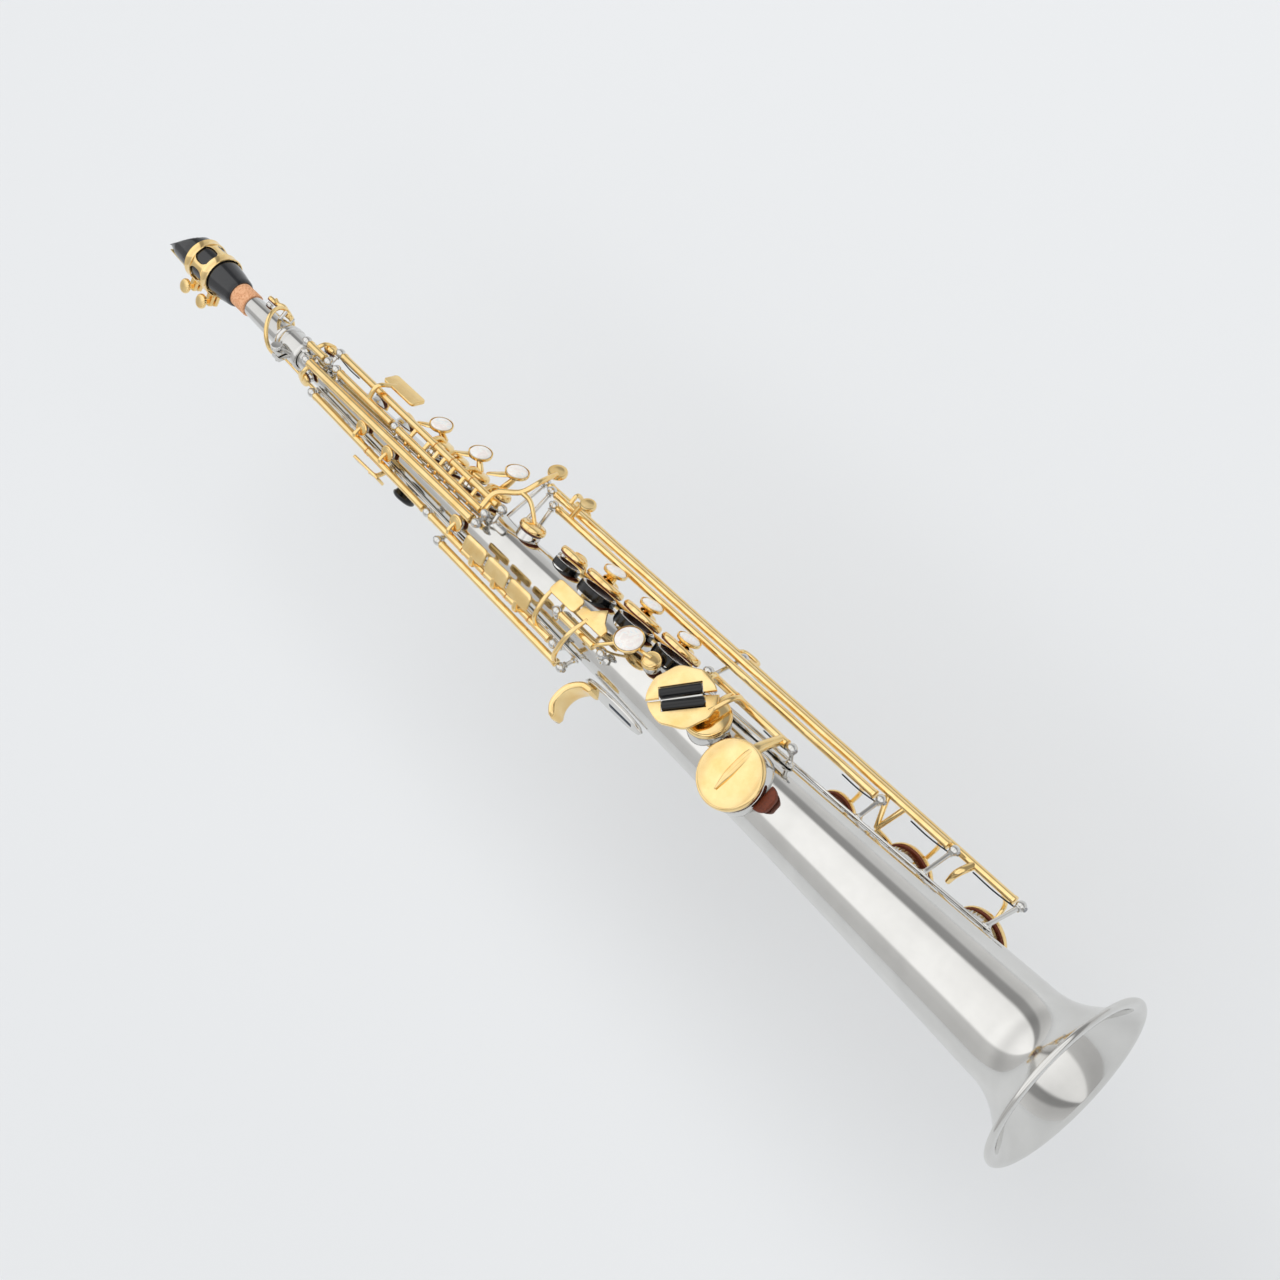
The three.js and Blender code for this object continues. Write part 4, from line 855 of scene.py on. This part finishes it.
def cluster_half(reach, turn):
    """Half a rounded octagon: its far side is the blend of a circle and eight flats, its
    near side steps back
    round the roller."""
    low_side = np.sqrt(CLUSTER_RADIUS ** 2 - SPLIT ** 2)
    x = np.concatenate([-low_side * np.cos(np.linspace(0, 0.89, 12)), [-NOTCH_HALF - 0.02, -NOTCH_HALF],
        np.linspace(-6, 6, 7), [NOTCH_HALF, NOTCH_HALF + 0.02], low_side * np.cos(np.linspace(0.89, 0, 12))])
    bearing = np.arccos(np.clip(x / CLUSTER_RADIUS, -1, 1))
    bulge = 1 - 0.06 * (1 - np.cos(8 * bearing)) / 2
    far = np.maximum(np.sqrt(np.maximum(CLUSTER_RADIUS ** 2 - x ** 2, 0)) * bulge, SPLIT + 0.05)
    near = np.where(np.abs(x) <= NOTCH_HALF, NOTCH_DEPTH, SPLIT)
    return placed(bar(x, near, far, 2.0, 0.5), CLUSTER[0], reach + 1, CLUSTER[1], turn)


def on_plate(reach, turn, along, across):
    """A point in the middle of the cluster's thickness: along the roller and square to it."""
    a, t = math.radians(CLUSTER[1]), math.radians(turn)
    out = np.array([-math.cos(a), -math.sin(a), 0])
    x, y = along * math.cos(t) - across * math.sin(t), along * math.sin(t) + across * math.cos(t)
    return at(CLUSTER[0], reach + 1, CLUSTER[1]) + x * UP + y * np.cross(out, UP)


def away(z, reach, degrees):
    """A point of the cluster's plane at a height and an angle from its middle."""
    return at(z, (reach + 1) / math.cos(math.radians(degrees)), CLUSTER[1] + degrees)


def roller_pair(name, reach, turn, line, lift, body):
    """A turned roller with rounded ends, and its pin."""
    a, b = on_plate(reach, turn, -ROLLER_HALF, ROLLER_MIDDLE), on_plate(reach, turn,
        ROLLER_HALF, ROLLER_MIDDLE)
    end = 2 * ROLLER_HALF
    profile = [(0.95, 0), (2.1, 0.05), (2.5, 0.4), (ROLLER_RADIUS, 1.0), (ROLLER_RADIUS, end - 1),
        (2.5, end - 0.4),
        (2.1, end - 0.05), (0.95, end)]
    drum = lifted([turned(profile, a, b - a, 28)], line, lift)
    shell(name + "_drum", drum, black_plastic_and_painted_shade, name, [name])
    pin_ends = [on_plate(reach, turn, side * (NOTCH_HALF + PIN_END), ROLLER_MIDDLE) for side in (-1, 1)]
    pin = tube(pin_ends, 0.6, 10)
    shell(name + "_pin", lifted([pin], line, lift), steel, body)


EB_REACH = 31              # distance of the plates' undersides from the bore axis
C_REACH = 29.1
C_LIFT = 4                 # the low C key stands open by this angle
make_key("key_low_eb", "lower", [hinge_tube("lower", 226.4, 243.6),
    cluster_half(EB_REACH, CLUSTER_TURN + 180),
    tube([on_line("lower", 238), at(236, 34.6, 42), away(235, EB_REACH, 25)], [1.5, 1.3, 1.1], 14),
    cup("low_eb"), arm("low_eb", "lower", 229)], [pad("low_eb")])
roller_pair("roller_eb", EB_REACH, CLUSTER_TURN + 180, "lower", 0, "key_low_eb")
strip_ends = [on_plate(EB_REACH, CLUSTER_TURN, end, 0) for end in (-9.8, 9.8)]
shell("cluster_strip", [tube(strip_ends, 0.75, 10)], silver_plate, "key_low_eb")
make_key("key_low_c", "lower", [hinge_tube("lower", 190.2, 226), cluster_half(C_REACH, CLUSTER_TURN),
    tube([on_line("lower", 219), at(221, 33, 42), away(223.5, C_REACH, 6)], [1.6, 1.4, 1.3], 14),
    cup("low_c"), arm("low_c", "lower", 194, radius=(2.4, 2.6, 2.1), past=0.62)],
    [pad("low_c")], lift=C_LIFT)
roller_pair("roller_c", C_REACH, CLUSTER_TURN, "lower", C_LIFT, "key_low_c")

# ---- bell keys --------------------------------------------------------------
# Lacquered brass: long tubes between posts down the left of the bell, with the touches for the left little
# finger at their upper ends. C sharp is closed by its spring, B and B flat stand open.

BELL_LIFT = -5
make_key("key_c_sharp", "bell_c_sharp", [hinge_tube("bell_c_sharp", 152.4, 380.6), cup("c_sharp"),
    arm("c_sharp", "bell_c_sharp", 161), tube([on_line("bell_c_sharp", 372), at(369, 42.5, 92)], 1.4, 12),
    touch_disc(366, 43, 91, 35, 4.4)], [pad("c_sharp")])
fork = at(145, 27, 122)  # where the two arms of low B meet
make_key("key_low_b", "bell_b", [hinge_tube("bell_b", 112.4, 389.6), cup("low_b"),
    arm("low_b", "bell_b", 118),
    tube([on_line("bell_b", 150), fork], [1.5, 1.3], 12), tube([on_line("bell_b", 139), fork],
    [1.5, 1.3], 12),
    tube([fork, at(138, 30, 134), at(131, cup_floor("low_b") + CUP_HEIGHT - 0.4, 143)], [1.4, 1.3, 1.1], 12),
    tube([on_line("bell_b", 380), at(380, 44.6, 103), at(380, 46, 114), at(380, 45, 122)], 1.15, 12),
    touch_plate(380, 45, 122, 12, 9)], [pad("low_b")], lift=BELL_LIFT)
make_key("key_low_bb", "bell_bb", [hinge_tube("bell_bb", 75.4, 249.1), hinge_tube("bell_bb", 255.9, 399.6),
    tube([on_line("bell_bb", 247), at(248, 47.2, 117), at(257, 47.0, 117),
    on_line("bell_bb", 258)], 1.15, 12),
    tube([on_line("bell_bb", 100), at(102, 36, 110), at(104.5, 32.5, 122)], [2.0, 1.9, 1.4], 14),
    cup("low_bb"), arm("low_bb", "bell_bb", 83), tube([on_line("bell_bb", 362), at(362, 45, 124)], 1.2, 12),
    touch_plate(362, 45, 125, 16, 9)], [pad("low_bb")], lift=BELL_LIFT)

# ---- octave lever -----------------------------------------------------------
# Lacquered brass, on a short rod on the thumb side: a curved touch beside the thumb rest, and a long finger
# that rises to the ring of the neck's octave key.

make_key("lever_octave", "octave", [hinge_tube("octave", 465.2, 508.8),
    touch_plate(478, 20.5, -86, 22, 10, bend=True),
    tube([on_line("octave", 478), at(478, 20.3, -112), at(478, 20.4, -90)], [1.6, 1.3, 1.1], 14),
    tube([on_line("octave", 504), at(508, 18.4, -142), at(520, 17.4, -141), at(580.4, 13.4, -140)],
    [1.3, 1.2, 1.1, 1.0], 14)])

# ---- neck receiver and clamp screw ------------------------------------------
# A split ring of silver plated brass, soldered round the top of the tube and drawn tight by one knurled
# screw through its two lugs.

RECEIVER_LOW = 561
RECEIVER_TOP = 578
CLAMP_HEIGHT = 573
CLAMP_ANGLE = -58
receiver_inner = surface(RECEIVER_LOW) + 0.35
receiver_outer = receiver_inner + 1.6
ring_profile = [(receiver_inner, RECEIVER_LOW + 0.2), (receiver_inner + 0.2, RECEIVER_LOW),
    (receiver_outer - 0.3, RECEIVER_LOW), (receiver_outer, RECEIVER_LOW + 0.4),
    (receiver_outer, RECEIVER_LOW + 2.2),
    (receiver_outer - 0.5, RECEIVER_LOW + 2.6), (receiver_outer - 0.5, RECEIVER_TOP - 3.4),
    (receiver_outer, RECEIVER_TOP - 3), (receiver_outer, RECEIVER_TOP - 0.4),
    (receiver_outer - 0.3, RECEIVER_TOP),
    (receiver_inner + 0.2, RECEIVER_TOP), (receiver_inner, RECEIVER_TOP - 0.2)]
clamp_out = at(0, 1, CLAMP_ANGLE)
clamp_across = np.cross(UP, clamp_out)
clamp_middle = at(CLAMP_HEIGHT, receiver_outer + 2.6, CLAMP_ANGLE)
lugs = []
for side in (-1, 1):
    along, half = round_ends(7, 2.8, 0.8)
    lug = bar(along, -half, half, 5.8, 0.5)
    place = at(CLAMP_HEIGHT, receiver_outer + 1.1, CLAMP_ANGLE) + clamp_across * side * 2.05
    lugs.append(skin(place + lug[..., :1] * UP + lug[..., 1:2] * clamp_across + lug[..., 2:] * clamp_out))
shell("receiver_ring", [round_bore(ring_profile, 64), *lugs], silver_plate, "body",
    ["neck_receiver"])
screw_profile = [(1.0, -4.6), (1.2, -4.3), (1.2, 3.9), (2.7, 3.95), (3.0, 4.3), (3.0, 6.0),
    (2.6, 6.4), (0.5, 6.45)]
shell("clamp_screw_knurled", [turned(screw_profile, clamp_middle, clamp_across, 60, flutes=20,
    depth=0.14)], silver_plate,
    "neck_clamp_screw", ["neck_clamp_screw"])

# ---- neck -------------------------------------------------------------------
# A short cone of silver plated brass that slides into the receiver. Its shoulder ring, the little chimney
# of the octave hole and the two pivot posts of its key are soldered on.

NECK_SHOULDER = 578.35
NECK_TOP = NECK_SHOULDER + 60
CORK_LOW = NECK_TOP - 24
neck_inner = receiver_inner - 0.35
neck_profile = [(neck_inner - 1.6, 566.4), (neck_inner, 566.5), (neck_inner, 578.1),
    (receiver_outer - 0.6, NECK_SHOULDER),
    (receiver_outer - 0.4, 578.8), (receiver_outer - 0.4, 580.2), (receiver_outer - 0.8, 580.7),
    (7.3, 581.4), (7.2, 583),
    (6.0, CORK_LOW - 1), (5.2, CORK_LOW - 0.1), (4.9, CORK_LOW), (4.9, NECK_TOP - 0.3), (4.7, NECK_TOP),
    (4.2, NECK_TOP), (4.0, NECK_TOP - 0.3),
    (4.0, CORK_LOW), (neck_inner - 1.6, 566.6)]
FRONT = at(0, 1, 90)
vent_height = NECK_SHOULDER + 27.5
vent_reach = 6.3 + 1.0     # the neck's radius there and the height of the chimney
vent = turned([(2.0, 0), (2.0, 1.5), (1.8, 1.75), (1.1, 1.75), (0.9, 1.5), (0.9, 0)],
    at(vent_height, vent_reach - 1.2, 90), FRONT, 24, loop=True)
pivot_height = NECK_SHOULDER + 12
PIVOT_ASIDE = 4
saddle = [turned([(1.3, 0), (1.1, 0.8), (1.1, 5.2), (0.8, 6.1), (0.2, 6.25)],
    at(pivot_height, 4.4, 90) + [side * PIVOT_ASIDE, 0, 0], FRONT, 20) for side in (-1, 1)]
shell("neck_tube", [round_bore(neck_profile, 64), vent, *saddle], silver_plate, "neck",
    ["neck"])

# ---- cork -------------------------------------------------------------------
# A sheet of natural cork glued round the upper end of the neck and sanded smooth. The mouthpiece is
# pushed over it and held by its grip.

cork, tree, shader, where = finish_of("cork_sanded", "#DFA378", roughness=0.85)
cells = put(tree, "TexVoronoi", {"Scale": 1 / (1.1 * MM)}, [(where, 0)])
cork_tint = put(tree, "ValToRGB", {}, [(cells.outputs[0], 0)])
set_ramp(cork_tint, [(0.0, linear("#B9774C")), (0.35, linear("#DFA378")), (0.8, linear("#EDB88F"))])
tree.links.new(cork_tint.outputs[0], shader.inputs["Base Color"])
cork_bump = put(tree, "Bump", {"Strength": 0.5, "Distance": 0.12 * MM}, [(cells.outputs[0], "Height")])
tree.links.new(cork_bump.outputs[0], shader.inputs["Normal"])
shell("cork_sleeve", [round_bore([(5.3, CORK_LOW), (6.6, CORK_LOW), (6.95, CORK_LOW + 0.5),
    (6.95, NECK_TOP - 0.8),
    (6.6, NECK_TOP), (5.3, NECK_TOP)], 48)], cork, "neck", ["neck_cork"])

# ---- neck octave key --------------------------------------------------------
# Lacquered brass on a pin between the two posts of the neck: a ring round the neck that the octave lever
# pushes, a bent spine, and a small cup with a leather pad over the vent.

SADDLE_REACH = 9.4
RING_RADIUS = 12.6
RING_TILT = 31
hub = at(pivot_height, SADDLE_REACH, 90)
around = np.linspace(0, 2 * np.pi, 25)
tilt = math.radians(RING_TILT)
ring_path = np.stack([RING_RADIUS * np.cos(around), RING_RADIUS * np.sin(around) * math.cos(tilt),
    pivot_height - 2.5 - RING_RADIUS * np.sin(around) * math.sin(tilt)], -1)
spine = [hub - [0, 0, 2], at(pivot_height + 7, SADDLE_REACH + 1.6, 90),
    at(vent_height - 4, SADDLE_REACH + 0.8, 90),
    at(vent_height, vent_reach + 4.2, 90)]
lid_foot = at(vent_height, vent_reach + 0.95, 90)
lid = turned([(2.6, 0.6), (3.5, 0.7), (3.6, 1.1), (3.5, 2.0), (3.0, 2.7), (1.2, 3.0), (0.2, 3.05)],
    lid_foot, FRONT, 28)
shell("neck_octave_brass", [turned([(1.3, -2.5), (1.6, -2.3), (1.6, 2.3), (1.3, 2.5)], hub, (1, 0, 0), 20),
    tube(spine, [1.3, 1.6, 1.3, 0.9], 14, flat=0.8, side=np.array([1.0, 0, 0])), lid,
    tube(ring_path, 1.2, 14, loop=True, steps=3)], gold_lacquer, "neck_octave_key",
    ["neck_octave_key"])
shell("neck_octave_pad", [turned([(3.1, 0), (3.3, 0.25), (3.2, 0.9), (1.0, 0.9)], lid_foot, FRONT,
    24)], pad_leather,
    "neck_octave_key")

# ---- mouthpiece -------------------------------------------------------------
# Turned from black hard rubber, polished and pushed over the cork. The beak is a sloping flat, and the
# table for the reed another.

hard_rubber, tree, shader, where = finish_of("hard_rubber_polished", "#15171B", roughness=0.14)
shader.inputs["Coat Weight"].default_value = 0.4
shader.inputs["Coat Roughness"].default_value = 0.06
haze = put(tree, "TexNoise", {"Scale": 1 / (2.5 * MM), "Detail": 5.0}, [(where, 0)])
polish = put(tree, "MapRange", {1: 0.3, 2: 0.7, 3: 0.1, 4: 0.22}, [(haze.outputs[0], 0)])
tree.links.new(polish.outputs[0], shader.inputs["Roughness"])

MOUTHPIECE_LOW = NECK_TOP - 12
BEAK_START = 44.5          # heights above MOUTHPIECE_LOW
TABLE_START = 15.5
MOUTHPIECE_LENGTH = 62
MOUTHPIECE_TURN = -30
TABLE_REACH = 6.565        # distance of the table from the bore axis
UNCUT = 20.0               # a limit outside the turned outline


def about_bore(skins):
    """Turns skins round the bore axis by MOUTHPIECE_TURN."""
    a = math.radians(MOUTHPIECE_TURN)
    spin = np.array([(math.cos(a), math.sin(a), 0), (-math.sin(a), math.cos(a), 0), (0, 0, 1)])
    return [(points @ spin, quads, fans) for points, quads, fans in skins]


def mouthpiece_rings():
    """Circles of a turned outline, cut off flat on the thumb side by the table and on the
    front by the beak: the
    cut is a clip of the coordinate across, with the beak's limit a straight line of the height."""
    z = np.concatenate([[0, 0.35, 1.2], np.linspace(3, 19, 9), np.linspace(20, BEAK_START, 16),
        np.linspace(BEAK_START + 1, MOUTHPIECE_LENGTH - 0.4, 20)])
    radius = np.interp(z, [0, 0.35, 1.2, 9, 17, 23, 34, BEAK_START, 54, 60.5, 61.6],
        [7.6, 7.85, 8.4, 9.7, 10.8, 11, 11, 10.5, 9.6, 7.8, 6.6])
    v = np.linspace(0, 2 * np.pi, 72, endpoint=False)
    x, y = radius[:, None] * np.cos(v), radius[:, None] * np.sin(v)
    front = np.interp(z, [0, BEAK_START, 53, MOUTHPIECE_LENGTH + 0.2], [-UNCUT, -10.6, -1.8, 5.1])
    back = np.where(z > TABLE_START, TABLE_REACH, UNCUT)
    y = np.clip(y, front[:, None], back[:, None])
    return np.stack([x, y, np.broadcast_to(z[:, None], x.shape) + MOUTHPIECE_LOW], -1)


shell("mouthpiece_rubber", about_bore([skin(mouthpiece_rings())]), hard_rubber, "mouthpiece",
    ["mouthpiece"], crease=50)

# ---- reed -------------------------------------------------------------------
# A strip of cane, half round at the heel and scraped to a thin tip. It lies on the table and is held
# there by the ligature.

cane, tree, shader, where = finish_of("cane_scraped", "#D8C078", roughness=0.6)
stretch = put(tree, "Mapping", {"Scale": (1 / (0.35 * MM), 1 / (0.35 * MM), 1 / (9 * MM))}, [(where, 0)])
fibre = put(tree, "TexNoise", {"Scale": 1.0, "Detail": 3.0}, [(stretch.outputs[0], 0)])
cane_tint = put(tree, "Mix", {"data_type": "RGBA", 6: linear("#E2CC8A"), 7: linear("#BFA05A")},
    [(fibre.outputs[0], 0)])
tree.links.new(cane_tint.outputs[2], shader.inputs["Base Color"])
REED_LOW = MOUTHPIECE_LOW + 18
REED_LENGTH = 43
REED_BACK = 6.95           # distance of the reed's flat back from the bore axis
reed_along = np.array([0, 0.6, 12, 20.5, 29, 36.5, 37.0])
reed_along = reed_along * REED_LENGTH / reed_along[-1]
reed_thick = np.array([2.2, 2.4, 2.4, 2.4, 1.5, 0.5, 0.3])
reed_half = np.array([5.9, 6.2, 6.2, 6.2, 6.2, 6.1, 5.6])
v = np.linspace(0, np.pi, 15)
reed_x = reed_half[:, None] * np.cos(v)
reed_y = REED_BACK + np.minimum(reed_thick[:, None], reed_thick[:, None] * (0.35 + np.sin(v)))
reed_rings = np.stack([reed_x, reed_y, np.broadcast_to(REED_LOW + reed_along[:, None], reed_x.shape)], -1)
flat_back = np.stack([[[half * side, REED_BACK, REED_LOW + z] for side in (-0.98, 0.98)]
    for half, z in zip(reed_half, reed_along)])
shell("reed_cane", about_bore([skin(np.concatenate([reed_rings, flat_back], 1))]), cane, "mouthpiece",
    ["reed"])

# ---- ligature ---------------------------------------------------------------
# Two bands of lacquered brass joined by waisted bars, slipped over the mouthpiece and the reed and closed
# by two knurled screws through pairs of lugs.

BAND_INNER = 11.35
BAND_HEIGHT = 5.5
BAND_OUTLINE = ((0, 0.2), (0.2, 0), (0.6, 0), (0.85, 0.4), (0.7, 0.9), (0.7, 4.6), (0.85, 5.1),
    (0.6, BAND_HEIGHT),
    (0.2, BAND_HEIGHT), (0, 5.3))
LUG_REACH = 15.2           # distances of the lugs and of the screws from the bore axis
SCREW_REACH = 16.6
LUG_ASIDE = 1.75
band_lows = [MOUTHPIECE_LOW + 17.5, MOUTHPIECE_LOW + 34]
bands = [round_bore([(BAND_INNER + out, low + rise) for out, rise in BAND_OUTLINE], 72)
    for low in band_lows]
bar_along = np.linspace(-9, 9, 21)
waist = 1.9 + 3.6 * np.minimum(1, np.abs(bar_along) / 6.5) ** 3
bar_middle = band_lows[0] + 11
bars = [placed(bar(bar_along, -waist, waist, 0.7, 0.25), bar_middle, BAND_INNER + 0.35, angle, bend=True)
    for angle in (-69, 6, 81, 156)]
lug_skins = []
for low in band_lows:
    for side in (-1, 1):
        along, half = round_ends(5.4, 7.0, 1.4)
        lug = bar(along, -half, half, 2.3, 0.35)
        place = np.array([side * LUG_ASIDE, LUG_REACH, low + BAND_HEIGHT / 2])
        lug_skins.append(skin(place + lug[..., :1] * UP + lug[..., 1:2] * [0, 1.0, 0] + lug[...,
            2:] * [1.0, 0, 0]))
shell("ligature_brass", about_bore([*bands, *bars, *lug_skins]), gold_lacquer, "mouthpiece",
    ["ligature"])
for i, low in enumerate(band_lows):
    middle = np.array([0, SCREW_REACH, low + BAND_HEIGHT / 2])
    profile = [(0.8, -4.4), (1.2, -4.0), (1.2, 5.4), (1.9, 5.7), (3.4, 6.0), (4.0, 6.5),
        (4.1, 7.3), (3.9, 8.2),
        (3.2, 8.75), (0.3, 8.8)]
    screw = turned(profile, middle, (-1, 0, 0), 72, flutes=24, depth=0.12)
    shell(f"ligature_screw_brass_{i + 1}", about_bore([screw]), gold_lacquer, f"ligature_screw_{i + 1}",
        [f"ligature_screw_{i + 1}"])

# ---- thumb rest and hook ----------------------------------------------------
# A moulded plastic rest for the left thumb, on a stud soldered to the tube. The lacquered brass hook for the
# right thumb stands on a silver plated lens, soldered to the tube, with a steel screw and a slot whose dark
# inside is painted shade: a thin strip of blued steel.

REST_HEIGHT = 452
REST_ANGLE = -97
PLATE_HEIGHT = 277
PLATE_HALF = 21            # half its length and half its width
PLATE_WIDE = 5.5
PLATE_FACING = -66
rest_foot = surface(REST_HEIGHT) + 2.1
rest_top = [(6.1, 17.0), (6.6, 17.6), (6.5, 18.4), (5.6, 19.3), (4.4, 19.75), (2.6, 19.6), (0.3, 19.4)]
rest_profile = [(4.6, 0), (4.9, 0.6), *[(radius, reach - rest_foot) for radius, reach in rest_top]]
shell("thumb_rest_moulded", [turned(rest_profile, at(REST_HEIGHT, rest_foot, REST_ANGLE),
    at(0, 1, REST_ANGLE), 48)], black_plastic_and_painted_shade, "body",
    ["thumb_rest"])

PLATE_REACH = surface(256) + 1.15
lens_along = np.linspace(-PLATE_HALF, PLATE_HALF, 25)
lens_half = PLATE_WIDE * np.sqrt(np.maximum(0.0015, 1 - (np.abs(lens_along) / PLATE_HALF) ** 2.2))
plate_skin = placed(bar(lens_along, -lens_half, lens_half, 2.2, 0.5), PLATE_HEIGHT, PLATE_REACH + 1.5, -88,
    facing=PLATE_FACING)
shell("hook_plate_plated", [plate_skin], silver_plate, "body", ["thumb_hook_plate"])
# The slot is a thin dark strip laid on the plate: painted shade for the inside of the slot.
slot_shade_sections = bar(np.linspace(-8, 8, 9), np.full(9, -1.1), np.full(9, 1.1), 0.3, 0.12)
slot_painted_shade = placed(slot_shade_sections, PLATE_HEIGHT - 6, PLATE_REACH + 2.6, -87, facing=PLATE_FACING)
shell("hook_plate_slot_painted_shade", [slot_painted_shade], blued_steel_and_painted_shade, "body")
plate_screw = turned([(1.9, 0), (1.9, 0.25), (1.4, 0.5), (0.3, 0.55)],
    at(PLATE_HEIGHT + 15, PLATE_REACH + 2.1, -90),
    at(0, 1, -90), 24)
shell("hook_plate_screw", [plate_screw], steel, "body")
hook_foot = PLATE_REACH + 2.2 + 0.35  # the plate's thickness and a gap
hook_path = [(1.2, 288.6), (1.2, 291), (2.2, 294.6), (6.6, 298.6), (12, 300.2), (18, 299.4), (23.4, 295.0)]
hook_spine = smooth_path([(0, hook_foot + out, z) for out, z in hook_path])
hook_slope = np.gradient(hook_spine, axis=0)
hook_normal = np.cross(hook_slope / np.linalg.norm(hook_slope, axis=1, keepdims=True), [1.0, 0, 0])
along = np.linspace(0, 1, len(hook_spine))
hook_half = np.interp(along, [0, 0.05, 0.5, 0.85, 0.95, 1], [5.2, 6.4, 7.5, 7.5, 6.6, 4.4])[:, None, None]
hook_thick = np.interp(along, [0, 0.04, 0.5, 0.96, 1], [0.9, 2.0, 2.4, 2.0, 0.8])[:, None, None]
v = np.linspace(0, 2 * np.pi, 40, endpoint=False)
squared = [np.sign(w) * np.abs(w) ** 0.6 for w in (np.cos(v), np.sin(v))]  # an oval with flatter sides
hook_rings = hook_spine[:, None] + hook_half * squared[0][:, None] * [1.0, 0, 0] \
    + hook_thick * squared[1][:, None] * hook_normal[:, None]
shell("thumb_hook_brass", [skin(hook_rings)], gold_lacquer, "body",
    ["thumb_hook"], crease=60)

# ---- bumper -----------------------------------------------------------------
# A D shaped bumper of red brown leather glued beside the low C chimney, where the cup's edge would knock.

BUMPER_LENGTH = 6.2
BUMPER_HALF = 6.75         # half its width
bumper_round = np.linspace(0.06, np.pi / 2, 19)
bumper_along = BUMPER_LENGTH * (1 - np.cos(bumper_round))
bumper_half = BUMPER_HALF * np.sin(bumper_round) ** 0.75
bumper_skin = placed(bar(bumper_along, -bumper_half, bumper_half, 3.6, 0.8), 172.8, 21.3, -3)
shell("cup_bumper", [bumper_skin], pad_leather, "body")

low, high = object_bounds()
